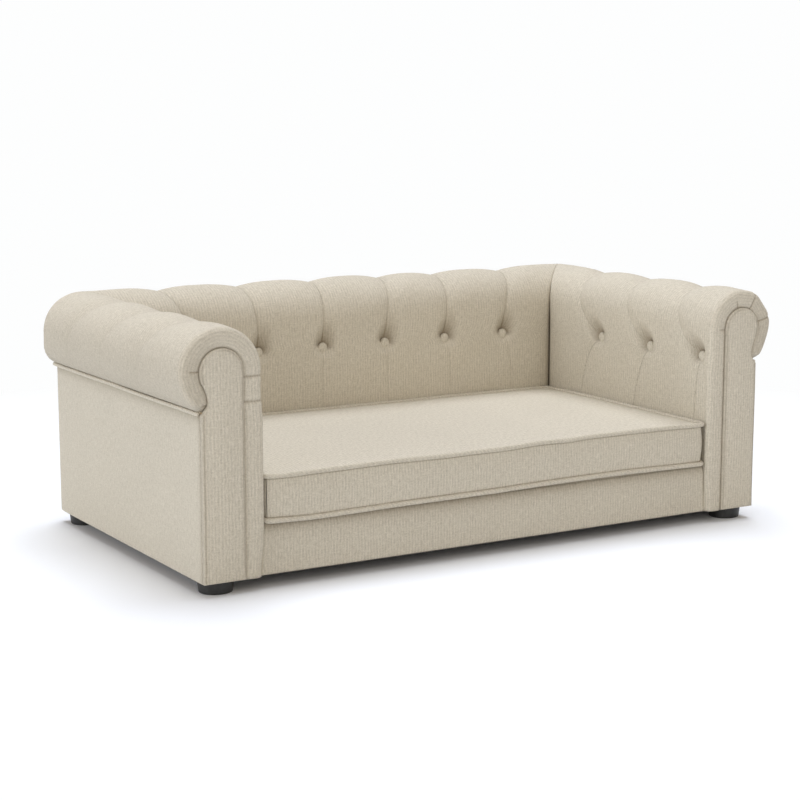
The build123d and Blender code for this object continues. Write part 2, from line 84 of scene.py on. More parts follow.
# The covered buttons, the distance between them, and how far each pleat of the back drifts
ARM_BUTTON_Z = 258.0
BACK_BUTTON_Z = 254.0
ARM_BUTTON_YS = (-245.0, -117.0, 11.0)
BACK_BUTTON_XS = (-287.5, -172.5, -57.5, 57.5, 172.5, 287.5)
ARM_PITCH = 128.0
BACK_PITCH = 115.0
BACK_DRIFTS = (-28.0, -10.0, 6.0, 19.0, 10.0, 27.0)


# ---------------------------------------------------------------- small maths


def ease(value, low, high):
    """0 below low, 1 above high, and the cubic 3t^2 - 2t^3 between them."""
    t = np.clip((value - low) / (high - low), 0.0, 1.0)
    return t * t * (3.0 - 2.0 * t)


def ripple(a, b, seed, waves=7, low=60.0, high=220.0):
    """A smooth uneven field: a sum of sines in seeded directions, each of its own length."""
    rng = np.random.default_rng(seed)
    total = np.zeros(np.broadcast(a, b).shape)
    for _ in range(waves):
        length = rng.uniform(low, high)
        turn, phase = rng.uniform(0, math.tau, 2)
        total += np.sin(math.tau * (a * math.cos(turn) + b * math.sin(turn)) / length + phase)
    return total / math.sqrt(waves)


def stretch_of(points, axis):
    """Distance run along one axis of a grid of points, from its first row or column."""
    step = np.linalg.norm(np.diff(points, axis=axis), axis=-1)
    start = np.zeros_like(np.take(step, [0], axis=axis))
    return np.concatenate([start, np.cumsum(step, axis=axis)], axis=axis)


def spaced(knots, steps):
    """Places from the first knot to the last, their spacing going from step to step between knots."""
    fine = np.linspace(knots[0], knots[-1], 4000)
    density = 1.0 / np.interp(fine, knots, steps)
    run = np.concatenate([[0.0], np.cumsum((density[1:] + density[:-1]) / 2 * np.diff(fine))])
    return np.interp(np.linspace(0.0, run[-1], int(run[-1]) + 1), run, fine)


# ---------------------------------------------------------------- meshes


class Patch:
    """A grid of points with a weave coordinate at each, and a crease's distance and the strength of its
    painted shade line.

    shade is the painted shade that darkens the fabric in a pocket, a fold or under an overhang, and give how
    far a cloth run may move a point.
    """

    def __init__(self, points, uv, gap=99.0, crease=0.0, shade=0.0, give=0.0):
        self.points = np.asarray(points, float)
        self.uv = np.asarray(uv, float)
        parts = (np.broadcast_to(part, self.points.shape[:2]) for part in (gap, crease, shade, give))
        self.gap, self.crease, self.shade, self.give = parts


def make_piece(name, patches):
    """One closed mesh from grids of points in millimetres.

    Every grid gives quads between neighbours, shared edges are welded, and the normals
    are turned outwards. The weave coordinate goes into the UV map named weave, and the
    distance from the nearest crease, the strength of its painted shade line, the painted shade and the give
    into attributes.
    """
    points, quads, coords = [], [], []
    start = 0
    for patch in patches:
        rows, columns = patch.points.shape[:2]
        index = np.arange(rows * columns).reshape(rows, columns) + start
        corner = np.stack(
            [index[:-1, :-1], index[1:, :-1], index[1:, 1:], index[:-1, 1:]], -1
        ).reshape(-1, 4)
        points.append(patch.points.reshape(-1, 3))
        quads.append(corner)
        coords.append(patch.uv.reshape(-1, 2))
        start += rows * columns
    points = np.concatenate(points) * MM
    quads = np.concatenate(quads)
    coords = np.concatenate(coords)
    mesh = bpy.data.meshes.new(name)
    mesh.vertices.add(len(points))
    mesh.vertices.foreach_set("co", points.astype(np.float32).ravel())
    mesh.loops.add(quads.size)
    mesh.loops.foreach_set("vertex_index", quads.astype(np.int32).ravel())
    mesh.polygons.add(len(quads))
    mesh.polygons.foreach_set("loop_start", np.arange(0, quads.size, 4, dtype=np.int32))
    layer = mesh.uv_layers.new(name="weave")
    layer.data.foreach_set("uv", coords[quads.ravel()].astype(np.float32).ravel())
    mesh.update(calc_edges=True)
    for label, unit in (("gap", MM), ("crease", 1.0), ("shade", 1.0), ("give", MM)):
        values = np.concatenate([getattr(patch, label).ravel() for patch in patches]) * unit
        if label != "give" or values.any():
            mark = mesh.attributes.new(label, "FLOAT", "POINT")
            mark.data.foreach_set("value", values.astype(np.float32))
    work = bmesh.new()
    work.from_mesh(mesh)
    bmesh.ops.remove_doubles(work, verts=work.verts, dist=WELD * MM)
    bmesh.ops.dissolve_degenerate(work, edges=work.edges, dist=WELD * MM * 0.1)
    bmesh.ops.recalc_face_normals(work, faces=work.faces)
    work.to_mesh(mesh)
    work.free()
    mesh.polygons.foreach_set("use_smooth", np.ones(len(mesh.polygons), bool))
    mesh.update()
    piece = bpy.data.objects.new(name, mesh)
    bpy.context.scene.collection.objects.link(piece)
    return piece


def sewn(name, patches, replaced, body="sofa", material="sofa_linen"):
    """A piece of linen with its material, its body and the solids it stands for."""
    piece = make_piece(name, patches)
    piece.data.materials.append(bpy.data.materials[material])
    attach(piece, body)
    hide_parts(*replaced)
    return piece


def side_flip(points):
    """The same points on the other side of the sofa."""
    return points * np.array([-1.0, 1.0, 1.0])


def flip_patches(patches):
    """Moves patches to the other side of the sofa."""
    for patch in patches:
        patch.points = side_flip(patch.points)


# ---------------------------------------------------------------- padding


def resample(path, shares):
    """Points at shares of a polyline's own length."""
    run = np.concatenate([[0.0], np.cumsum(np.linalg.norm(np.diff(path, axis=0), axis=1))])
    at = np.asarray(shares) * run[-1]
    return np.stack([np.interp(at, run, path[:, i]) for i in range(path.shape[1])], -1)


def arc(radius, start, end, count, middle=0.0):
    """Points (u, z) on a circle arc at the roll's height: radius times the cosine and the sine.

    The angles are in degrees from the outward direction.
    """
    angle = np.radians(np.linspace(start, end, count))
    return np.stack([middle + radius * np.cos(angle), ROLL["z"] + radius * np.sin(angle)], -1)


def under_arc(side, count):
    """The roll's underside from its outermost point to the seam: a circle arc that starts upright.

    Its middle lies at (60^2 - side^2 - drop^2) / (2 * (60 - side)), so that it meets the seam.
    """
    drop = ROLL["z"] - SEAM_Z
    middle = (FACE**2 - side**2 - drop**2) / (2 * (FACE - side))
    end = -math.degrees(math.atan2(drop, side - middle))
    return arc(FACE - middle, 0.0, end, count, middle)


def section(side, counts):
    """Outer and inner profile of the padding in (u, z), point for point.

    Outer: from the foot up the seat-side face at u = -60, over the half circle of radius
    60, and round the underside to the seam. Inner: the same along the frame, whose roll
    has radius 32, with its neck under it.
    """
    low, face, tuft, top, under = counts
    base_low = np.linspace(FOOT_Z, DECK_Z, low, endpoint=False)
    base_face = np.linspace(DECK_Z, TUFT_Z, face, endpoint=False)
    base_tuft = np.linspace(TUFT_Z, ROLL["z"], tuft, endpoint=False)
    heights = np.concatenate([base_low, base_face, base_tuft])
    wall = np.stack([np.full_like(heights, -FACE), heights], -1)
    roll = arc(FACE, 180.0, 0.0, top)[:-1]
    tuck = under_arc(side, under)
    outer = np.concatenate([wall, roll, tuck])
    wall_in = np.stack([np.full_like(heights, -HEAD_RADIUS), heights], -1)
    roll_in = arc(HEAD_RADIUS, 180.0, 0.0, top)[:-1]
    # the frame's neck: its reach and top, and the part of the roll above it
    reach, top_z, turn, count = (19.2, 268.0, -50.0, 12) if side == ARM_SIDE else (33.2, 286.0, -10.0, 4)
    neck = np.array([[reach, top_z], [reach, SEAM_Z + 1.0], [side - 2.0, SEAM_Z + 1.0]])
    curl = arc(HEAD_RADIUS, 0.0, turn, count)
    tuck_in = resample(np.concatenate([curl, neck]), np.linspace(0.0, 1.0, under))
    inner = np.concatenate([wall_in, roll_in, tuck_in])
    return outer, inner


def front_outline(counts):
    """The facing's outline in (u, z), one place for each point of the arm's outer profile."""
    low, face, tuft, top, under = counts
    outer, _ = section(ARM_SIDE, counts)
    walls = low + face + tuft
    wall = np.stack([np.full(walls, -HEAD_RADIUS), outer[:walls, 1]], -1)
    roll = arc(HEAD_RADIUS, 180.0, 0.0, top)[:-1]
    curl = arc(HEAD_RADIUS, 0.0, -35.0, 14)
    neck = np.array([
        [23.4, 274.5], [21.3, 268.0], [20.5, 262.0], [20.9, 257.0], [22.6, 252.0],
        [25.5, 248.0], [29.4, 246.0]])
    tuck = resample(np.concatenate([curl, neck]), np.linspace(0.0, 1.0, under))
    return np.concatenate([wall, roll, tuck])


def run_of(profile, zero_z):
    """Run along a profile, zero where its seat-side face passes the buttons."""
    run = np.concatenate([[0.0], np.cumsum(np.linalg.norm(np.diff(profile, axis=0), axis=1))])
    crest = np.argmax(profile[:, 1]) + 1
    return run - np.interp(zero_z, profile[:crest, 1], run[:crest])


def surface_normals(points):
    """Unit normals of a grid of points: the cross product of its two directions."""
    du = np.gradient(points, axis=0)
    dv = np.gradient(points, axis=1)
    normal = np.cross(du, dv)
    return normal / np.maximum(np.linalg.norm(normal, axis=-1, keepdims=True), 1e-9)


def under_reach(side):
    """Reach u of the roll's underside as a function of height, for a seam at side."""
    curve = under_arc(side, 60)
    order = np.argsort(curve[:, 1])
    return lambda z: np.interp(z, curve[order, 1], curve[order, 0])


ARM_UNDER = under_reach(ARM_SIDE)
REAR_UNDER = under_reach(REAR_SIDE)


def turn_corner(u, z, past, own_under, other_under):
    """Places round the rear corner, in (u, v) from the corner's upright axis.

    past is the angle from the roll's own direction, 0 to 45 degrees. Above the roll's
    middle the radius stays u. Below it, it is the smallest of U / cos, V / sin and 60,
    U and V being the two rolls' reaches at that height, scaled to u's own share.
    """
    own = own_under(z)
    other = other_under(z)
    cos, sin = np.cos(past), np.sin(past)
    limit = np.minimum(own / np.maximum(cos, 1e-3), other / np.maximum(sin, 1e-3))
    radius_low = np.minimum(limit, FACE) * u / np.maximum(own, 1e-3)
    radius = np.where(z < ROLL["z"] - 0.01, radius_low, u)
    return radius * cos, radius * sin


def mitred(rows, profile, own_under, other_under, start):
    """A roll's grid (along, u, z) from start to just before the mitre at its far end.

    rows are shares 0 to 1 of each point's own way. The way leads straight on to the mitre
    for u under 0, and for u over 0 to the roll's middle and then round to 45 degrees.
    """
    u = profile[None, :, 0]
    z = profile[None, :, 1]
    share = rows[:, None]
    straight = -start
    way_in = straight + np.minimum(u, 0.0) - MITRE_GAP
    way_out = straight + np.maximum(u, 0.0) * math.pi / 4 - MITRE_GAP
    run = share * np.where(u < 0, way_in, way_out)
    flat = np.minimum(run, straight)
    past = np.where(u > 0.5, np.maximum(run - straight, 0.0) / np.maximum(u, 0.5), 0.0)
    round_u, round_v = turn_corner(u, z, past, own_under, other_under)
    across = np.where(past > 0, round_u, u)
    along = start + flat + np.where(past > 0, round_v, 0.0)
    return along, np.broadcast_to(across, along.shape), np.broadcast_to(z, along.shape)


def way_left(rows, profile, start):
    """Way left to the mitre on the roll's outside: (1 - row) * (u * pi / 4 - start)."""
    reach = np.maximum(profile[:, 0], 0.0) * math.pi / 4
    return (1.0 - rows)[:, None] * (reach - start)[None]


def drawn_in(points, pull, probe, axis, meet):
    """Points moved in by pull along their normals.

    The normal at the probe's row and column points down the axis. Meet is how much of the
    move across, from -1 to 1, a point also makes along the roll: near the corner all of
    it, so that both pads still meet on the mitre.
    """
    normals = surface_normals(points)
    if normals[(*probe, axis)] > 0:
        normals = -normals
    moved = points - normals * pull[..., None]
    moved[..., 1 - axis] += (moved[..., axis] - points[..., axis]) * meet
    return moved


def softness(size, seed, along, run, distance, end):
    """A pad's uneven softness in millimetres: size times a ripple, eased out at its seams."""
    field = size * ripple(along, run, seed) * ease(distance, 0.0, 40.0)
    return field * ease(run, -168.0, -130.0) * (1.0 - ease(run, *end))


def hollow_of(across, run, lean):
    """A button's hollow: its depth as a share, and its painted shade.

    q is the share of the way from the rim, 7 mm out, to an oval that reaches 25 mm
    sideways, 20 mm down and 54 mm up its own way, which leans from upright by lean. The
    depth is (1 - q)^1.6, cut by half on the low side, where the fabric meets the button's
    rim. The painted shade of the hollow lies on the high side, as (1 - q)^1.5.
    """
    up = across * math.sin(lean) + run * math.cos(lean)
    side = across * math.cos(lean) - run * math.sin(lean)
    away = np.hypot(up, side)
    share = np.sqrt((side / 25.0) ** 2 + (up / np.where(up > 0, 54.0, 20.0)) ** 2)
    oval = away / np.maximum(share, 1e-6)
    q = np.clip((away - 7.0) / np.maximum(oval - 7.0, 1.0), 0.0, 1.0)
    toward = ease(up / np.maximum(away, 1e-6), -0.4, 0.5)
    return (0.5 + 0.5 * toward) * (1.0 - q) ** 1.6, toward * (1.0 - q) ** 1.5


def corner_seam(run, distance, pulled, gap, crease, shade):
    """The pull, gap, strength of the painted shade line and painted shade with the seam where two rolls meet.

    The fabric dips by depth * (1 - distance / width)^2.5, from 5.5 mm deep in the inner
    corner to under 1 mm past the crest. Tufts fade within 26 mm of the seam, and other
    lines within 24 mm. A painted shade line runs along the seam, strongest low in the inner
    corner, with painted shade beside it that fades over 14 mm.
    """
    depth = np.interp(run, [-170.0, 15.0, 50.0, 90.0, 160.0, 300.0], [5.5, 5.5, 2.4, 0.6, 0.3, 0.0])
    width = np.interp(run, [-170.0, 15.0, 90.0, 300.0], [7.5, 7.5, 4.0, 3.0])
    # strength of the painted shade line along the seam
    dark = np.interp(run, [-170.0, 15.0, 50.0, 90.0, 300.0], [1.0, 0.9, 0.35, 0.08, 0.05])
    dip = depth * np.clip(1.0 - distance / width, 0.0, 1.0) ** 2.5
    at_seam = distance < 12.0
    return (
        pulled * ease(distance, 0.0, 26.0) + dip,
        np.where(at_seam, distance, gap),
        np.where(at_seam, dark, crease * ease(distance, 12.0, 24.0)),
        np.maximum(shade, 0.55 * dark * np.exp(-np.maximum(distance, 0.0) / 14.0)),
    )


def nearest(gaps, *others):
    """The gap of smallest size among several signed gaps, point for point, and its other values."""
    pick = np.argmin(np.abs(np.stack(gaps)), axis=0)[None]
    return [np.take_along_axis(np.stack(one), pick, 0)[0] for one in (gaps, *others)]


# ---------------------------------------------------------------- sizes that a user sets


class SofaPadding(bpy.types.PropertyGroup):
    """Sizes of the rolls' padding and tufting."""

    tuft_depth: bpy.props.FloatProperty(
        name="Tuft depth", description="How far a button pulls the padding in",
        default=0.0108, min=0.0, max=0.02, unit="LENGTH")
    pleat_depth: bpy.props.FloatProperty(
        name="Pleat depth", description="Depth of a pleat between two lobes on top of a roll",
        default=0.0062, min=0.0, max=0.02, unit="LENGTH")
    crease_depth: bpy.props.FloatProperty(
        name="Crease depth", description="Depth of the thin fold in the middle of a pleat",
        default=0.0013, min=0.0, max=0.01, unit="LENGTH")
    arm_pleat_lean: bpy.props.FloatProperty(
        name="Arm pleat lean", description="How far an arm's pleats lean back from button to crest",
        default=0.074, min=0.0, max=0.12, unit="LENGTH")


class SofaCushion(bpy.types.PropertyGroup):
    """Sizes of the loose cushion."""

    pressure: bpy.props.FloatProperty(
        name="Pressure", description="Pressure that blows the cover up in its cloth run",
        default=4.0, min=0.0, max=20.0)
    swell: bpy.props.FloatProperty(
        name="Swell", description="Furthest that the top panel may rise in its cloth run",
        default=0.0048, min=0.0, max=0.03, unit="LENGTH")
    piping: bpy.props.FloatProperty(
        name="Piping radius", description="Radius of the corded edge",
        default=0.0036, min=0.001, max=0.01, unit="LENGTH")
    waviness: bpy.props.FloatProperty(
        name="Waviness", description="Rise and fall of the piping along the front, from its middle",
        default=0.0019, min=0.0, max=0.02, unit="LENGTH")


class SofaColours(bpy.types.PropertyGroup):
    """Colours of the fabric, the feet and the stage."""

    linen: bpy.props.FloatVectorProperty(
        name="Linen", description="Mean colour of the upholstery fabric",
        default=(0.610, 0.570, 0.482), size=3, subtype="COLOR", min=0.0, max=1.0)
    foot: bpy.props.FloatVectorProperty(
        name="Foot", description="Colour of the moulded feet",
        default=(0.008, 0.008, 0.008), size=3, subtype="COLOR", min=0.0, max=1.0)
    floor: bpy.props.FloatVectorProperty(
        name="Floor", description="Colour of the pale floor and backdrop",
        default=(0.985, 0.99, 0.99), size=3, subtype="COLOR", min=0.0, max=1.0)


# ---------------------------------------------------------------- materials


class Wiring:
    """Short ways to add and link nodes in one tree."""

    def __init__(self, tree):
        self.tree = tree

    def link(self, source, target):
        self.tree.links.new(source, target)

    def put(self, value, socket):
        if isinstance(value, bpy.types.NodeSocket):
            self.link(value, socket)
        else:
            socket.default_value = value

    def maths(self, operation, *values, kind="ShaderNodeMath"):
        node = self.tree.nodes.new(kind)
        node.operation = operation
        for value, socket in zip(values, node.inputs):
            self.put(value, socket)
        return node.outputs[0]

    def times(self, *values):
        return self.maths("MULTIPLY", *values)

    def total(self, *values):
        result = values[0]
        for value in values[1:]:
            result = self.maths("ADD", result, value)
        return result

    def vector(self, operation, *values):
        return self.maths(operation, *values, kind="ShaderNodeVectorMath")

    def mix(self, factor, first, second, mode="MIX"):
        node = self.tree.nodes.new("ShaderNodeMix")
        node.data_type = "RGBA"
        node.blend_type = mode
        self.put(factor, node.inputs[0])
        self.put(first, node.inputs[6])
        self.put(second, node.inputs[7])
        return node.outputs[2]

    def noise(self, vector, detail=2.0, roughness=0.5, scale=1.0):
        node = self.tree.nodes.new("ShaderNodeTexNoise")
        node.inputs["Scale"].default_value = scale
        node.inputs["Detail"].default_value = detail
        node.inputs["Roughness"].default_value = roughness
        self.link(vector, node.inputs["Vector"])
        return node.outputs["Fac"]

    def streaks(self, coordinate, across, along, detail=1.0):
        """Noise on a coordinate times (across, along), from -1 to 1."""
        fac = self.noise(self.vector("MULTIPLY", coordinate, (across, along, 1.0)), detail)
        return self.spread(fac, 0.3, 0.7, -1.0, 1.0)

    def spread(self, value, low, high, out_low=0.0, out_high=1.0):
        node = self.tree.nodes.new("ShaderNodeMapRange")
        self.put(value, node.inputs[0])
        for socket, number in zip(node.inputs[1:5], (low, high, out_low, out_high)):
            self.put(number, socket)
        return node.outputs[0]

    def seen(self):
        """1 on rays that the camera follows straight, by reflection or through glass."""
        path = self.tree.nodes.new("ShaderNodeLightPath")
        seen = self.maths("MAXIMUM", path.outputs["Is Camera Ray"], path.outputs["Is Glossy Ray"])
        return self.maths("MAXIMUM", seen, path.outputs["Is Transmission Ray"])

    def split(self, vector):
        node = self.tree.nodes.new("ShaderNodeSeparateXYZ")
        self.link(vector, node.inputs[0])
        return node.outputs

    def join(self, x, y, z):
        node = self.tree.nodes.new("ShaderNodeCombineXYZ")
        for value, socket in zip((x, y, z), node.inputs):
            self.put(value, socket)
        return node.outputs[0]


SOCKETS = {1: "NodeSocketFloat", 3: "NodeSocketVector", 4: "NodeSocketColor"}


def new_group(name, **inputs):
    """A shader node group that turns a coordinate and these inputs into a finish.

    Each input has its default value, whose length says what kind of socket it is.
    """
    group = bpy.data.node_groups.new(name, "ShaderNodeTree")
    group.interface.new_socket(name="Coordinate", in_out="INPUT", socket_type=SOCKETS[3])
    for label, value in inputs.items():
        group.interface.new_socket(
            name=label.replace("_", " "), in_out="INPUT", socket_type=SOCKETS[np.size(value)],
        ).default_value = value
    for label, size in (("Colour", 4), ("Height", 1), ("Roughness", 1)):
        group.interface.new_socket(name=label, in_out="OUTPUT", socket_type=SOCKETS[size])
    ask = group.nodes.new("NodeGroupInput").outputs
    leave = group.nodes.new("NodeGroupOutput").inputs
    return group, Wiring(group), ask, leave


def linen_group():
    """Plain weave of slubbed linen-look yarn, with the painted shade line of a crease and painted shade.

    The coordinate is in metres, x across the ribs and y along them. Ribs are a sine whose
    phase one noise shifts and whose strength another one changes. Warp and weft slubs are
    noises drawn out along each yarn, a fleck is a noise with no direction, and the three
    together are the heather. The weave is the product of two fine waves. A crease's painted
    shade line is its strength times exp(-(gap / width)^2): it dips the height and, like the
    painted shade of a pocket, fold or overhang, turns the colour to a dark brown.
    """
    group, w, ask, leave = new_group(
        "linen_weave",
        Yarn_Colour=(0.61, 0.57, 0.48, 1.0),
        Rib_Pitch=0.0048,
        Rib_Strength=0.07,
        Heather_Strength=0.10,
        Thread_Pitch=0.00115,
        # the painted shade line's gap, strength and width, and the painted shade
        Crease_Gap=0.1,
        Crease=0.0,
        Crease_Width=0.0013,
        Shade=0.0,
    )
    coordinate = ask["Coordinate"]
    x, y, _ = w.split(coordinate)
    wander = w.streaks(coordinate, 60.0, 30.0, 2.0)
    turns = w.total(w.maths("DIVIDE", x, ask["Rib Pitch"]), w.times(wander, 0.22))
    rib = w.maths("SINE", w.times(turns, math.tau))
    rib = w.times(rib, w.spread(w.streaks(coordinate, 150.0, 70.0), -0.6, 0.6, 0.3, 1.0))
    warp_slub = w.streaks(coordinate, 400.0, 110.0)
    weft_slub = w.streaks(coordinate, 130.0, 400.0)
    fleck = w.streaks(coordinate, 540.0, 500.0, 2.0)
    heather = w.total(
        w.times(warp_slub, 0.75), w.times(weft_slub, 0.5),
        w.times(fleck, 1.1))
    warp = w.maths("SINE", w.times(w.maths("DIVIDE", x, ask["Thread Pitch"]), math.tau))
    weft = w.maths("SINE", w.times(w.maths("DIVIDE", y, ask["Thread Pitch"]), math.tau))
    cloth = w.times(warp, weft)
    # painted shade line along a crease
    line = w.maths("DIVIDE", ask["Crease Gap"], ask["Crease Width"])
    line = w.maths("EXPONENT", w.times(w.times(line, line), -1.0))
    line = w.times(line, ask["Crease"])
    gain = w.total(
        1.0,
        w.times(rib, ask["Rib Strength"]),
        w.times(heather, ask["Heather Strength"]),
        w.times(cloth, 0.04),
        w.times(w.streaks(coordinate, 9.0, 7.0, 2.0), 0.015),
    )
    shade = w.vector("MULTIPLY", ask["Yarn Colour"], w.join(gain, gain, gain))
    warm = w.mix(w.spread(heather, -1.0, 1.0, 0.5, 0.0), shade, (0.985, 0.965, 0.92, 1.0), "MULTIPLY")
    # painted shade: the crease line and the shade attribute darken the colour towards brown
    dark = w.total(w.times(line, 0.72), w.times(ask["Shade"], 0.55))
    painted_shade_colour = w.mix(w.maths("MINIMUM", dark, 0.8), warm, (0.32, 0.26, 0.19, 1.0), "MULTIPLY")
    w.link(painted_shade_colour, leave["Colour"])
    height = w.total(
        w.times(cloth, 0.3), w.times(heather, 0.35),
        w.times(rib, 0.5), w.times(line, -3.0))
    w.link(height, leave["Height"])
    w.link(w.spread(heather, -1.0, 1.0, 0.97, 0.88), leave["Roughness"])
    return group


def handling_group():
    """Faint wear and dust: a large soft noise that greys a colour and dulls its gloss."""
    group, w, ask, leave = new_group(
        "handling", Colour=(0.5, 0.5, 0.5, 1.0), Amount=0.1, Scale=40.0, Gloss_Low=0.35, Gloss_High=0.5)
    scaled = w.vector("SCALE", ask["Coordinate"])
    w.link(ask["Scale"], scaled.node.inputs["Scale"])
    cloud = w.noise(scaled, 4.0, 0.6)
    fine = w.noise(scaled, 3.0, 0.6, scale=14.0)
    amount = w.times(w.spread(cloud, 0.35, 0.7), ask["Amount"])
    w.link(w.mix(amount, ask["Colour"], (0.42, 0.40, 0.37, 1.0)), leave["Colour"])
    rough = w.total(w.times(cloud, 0.7), w.times(fine, 0.3))
    w.link(w.spread(rough, 0.3, 0.7, ask["Gloss Low"], ask["Gloss High"]), leave["Roughness"])
    w.link(fine, leave["Height"])
    return group


def grain_group():
    """Sawn or peeled wood: rings seen along the board, stretched along one axis."""
    group, w, ask, leave = new_group(
        "wood_grain", Light_Wood=(0.6, 0.45, 0.28, 1.0), Dark_Wood=(0.42, 0.28, 0.15, 1.0),
        Stretch=(6.0, 60.0, 60.0))
    pulled = w.vector("MULTIPLY", ask["Coordinate"], ask["Stretch"])
    bands = w.noise(pulled, 4.0, 0.65)
    pores = w.noise(pulled, 2.0, 0.5, scale=9.0)
    share = w.total(w.times(bands, 0.8), w.times(pores, 0.2))
    w.link(w.mix(w.spread(share, 0.3, 0.7), ask["Light Wood"], ask["Dark Wood"]), leave["Colour"])
    w.link(w.spread(share, 0.3, 0.7, 0.55, 0.75), leave["Roughness"])
    w.link(share, leave["Height"])
    return group


def start_material(name):
    """A material with one Principled shader and nothing else."""
    material = bpy.data.materials.new(name)
    material.use_nodes = True
    tree = material.node_tree
    tree.nodes.clear()
    shader = tree.nodes.new("ShaderNodeBsdfPrincipled")
    output = tree.nodes.new("ShaderNodeOutputMaterial")
    tree.links.new(shader.outputs[0], output.inputs[0])
    return material, tree, shader


def group_material(name, group, depth, strength, **values):
    """A material whose colour, roughness and bump of real depth come from a placed group."""
    material, tree, shader = start_material(name)
    node = tree.nodes.new("ShaderNodeGroup")
    node.node_tree = group
    for label, value in values.items():
        node.inputs[label.replace("_", " ")].default_value = value
    bump = tree.nodes.new("ShaderNodeBump")
    bump.inputs["Strength"].default_value = strength
    bump.inputs["Distance"].default_value = depth
    for source, target in (
        (node.outputs["Colour"], shader.inputs["Base Color"]),
        (node.outputs["Roughness"], shader.inputs["Roughness"]),
        (node.outputs["Height"], bump.inputs["Height"]),
        (bump.outputs[0], shader.inputs["Normal"]),
    ):
        tree.links.new(source, target)
    return material, tree, shader, node


def linen_material(name, group, colour, rib, heather):
    """Linen upholstery on the piece's own weave coordinate, with a soft cloth sheen."""
    _, tree, shader, node = group_material(
        name, group, 0.00024, 0.8, Yarn_Colour=(*colour, 1.0), Rib_Strength=rib, Heather_Strength=heather)
    uv = tree.nodes.new("ShaderNodeUVMap")
    uv.uv_map = "weave"
    tree.links.new(uv.outputs[0], node.inputs["Coordinate"])
    # the painted shade line and the painted shade come in from the piece's attributes
    for label, socket in (("gap", "Crease Gap"), ("crease", "Crease"), ("shade", "Shade")):
        mark = tree.nodes.new("ShaderNodeAttribute")
        mark.attribute_name = label
        tree.links.new(mark.outputs["Fac"], node.inputs[socket])
    for label, value in (("Specular IOR Level", 0.12), ("Sheen Weight", 0.05), ("Sheen Roughness", 0.55)):
        shader.inputs[label].default_value = value


def solid_material(name, group, depth, strength, metal=0.0, **values):
    """A finish on the solid's own coordinate."""
    material, tree, shader, node = group_material(name, group, depth, strength, **values)
    place = tree.nodes.new("ShaderNodeTexCoord")
    tree.links.new(place.outputs["Object"], node.inputs["Coordinate"])
    shader.inputs["Metallic"].default_value = metal
    return material


# Moulded, metal and cloth finishes with faint handling marks: colour, lowest and highest
# roughness, how strong and how fine the marks are, depth of the bump
PLAIN = {
    "steel": ((0.60, 0.60, 0.58), 0.3, 0.45, 0.08, 200.0, 0.00005),
    "lining": ((0.02, 0.02, 0.021), 0.9, 1.0, 0.12, 300.0, 0.0003),
    "foam": ((0.78, 0.72, 0.55), 0.9, 1.0, 0.08, 400.0, 0.0006),
    "twine": ((0.55, 0.48, 0.36), 0.8, 0.95, 0.08, 900.0, 0.0002),
    "zip_tape": ((0.50, 0.45, 0.36), 0.8, 0.95, 0.08, 700.0, 0.0002),
    "zip_nylon": ((0.46, 0.42, 0.34), 0.3, 0.42, 0.08, 500.0, 0.00005),
    "zip_metal": ((0.42, 0.38, 0.31), 0.32, 0.45, 0.08, 400.0, 0.00005),
    "deck_cloth": ((0.34, 0.30, 0.23), 0.85, 0.97, 0.08, 350.0, 0.0003),
}
# Woods: light and dark colour, and how close the grain lies along each axis
WOODS = {
    "board": ((0.62, 0.47, 0.30), (0.45, 0.31, 0.17), (5.0, 60.0, 60.0)),
    "timber": ((0.66, 0.50, 0.31), (0.50, 0.34, 0.18), (7.0, 90.0, 90.0)),
    "tube_board": ((0.42, 0.32, 0.21), (0.34, 0.25, 0.15), (40.0, 14.0, 40.0)),
}


class SOFA_OT_finishes(bpy.types.Operator):
    """Makes every finish of the sofa and puts the plain ones on the solids that keep their shape"""

    bl_idname = "sofa.finishes"
    bl_label = "Finishes"

    def execute(self, context):
        colours = context.scene.sofa_colours
        weave, handling, grain = linen_group(), handling_group(), grain_group()
        for name, rib, heather in (("sofa_linen", 0.08, 0.085), ("sofa_linen_side", 0.05, 0.065)):
            linen_material(name, weave, tuple(colours.linen), rib, heather)
        finishes = {}
        plain = {"foot_plastic": (tuple(colours.foot), 0.38, 0.52, 0.03, 90.0, 0.00005), **PLAIN}
        for name, (colour, low, high, amount, scale, depth) in plain.items():
            finishes[name] = solid_material(
                name, handling, depth, 0.6, metal=1.0 if name == "steel" else 0.0,
                Colour=(*colour, 1.0), Amount=amount, Scale=scale, Gloss_Low=low, Gloss_High=high)
        for name, (light, dark, stretch) in WOODS.items():
            finishes[name] = solid_material(
                name, grain, 0.0002, 0.5, Light_Wood=(*light, 1.0), Dark_Wood=(*dark, 1.0), Stretch=stretch)
        slots = {piece["node"]: piece["material_slot"] for piece in frame["record"]["subparts"]}
        for name, node in frame["nodes"].items():
            finish = finishes.get("deck_cloth" if name == "deck_cover" else slots[name])
            if finish is not None:
                node.data.materials.clear()
                node.data.materials.append(finish)
        return {"FINISHED"}


# ---------------------------------------------------------------- arms


# Points of the profiles: foot, face, tufted rows, roll and underside
ARM_COUNTS = (14, 42, 44, 84, 26)
BACK_COUNTS = (2, 40, 42, 74, 22)
# How far each arm's crease curls back below its button, and over what fall
ARM_CURLS = ((18.0, 100.0), (40.0, 55.0), (52.0, 38.0))
# Gathers round the facing's head: the angle, and how far across the padding's end each runs
ARM_GATHERS = {
    "right": ((-54.0, 0.85), (15.0, 1.15), (61.0, 1.15), (104.0, 0.42), (180.0, 0.42)),
    "left": ((-46.0, 0.4), (4.0, 0.5), (188.0, 1.1), (220.0, 1.1)),
}


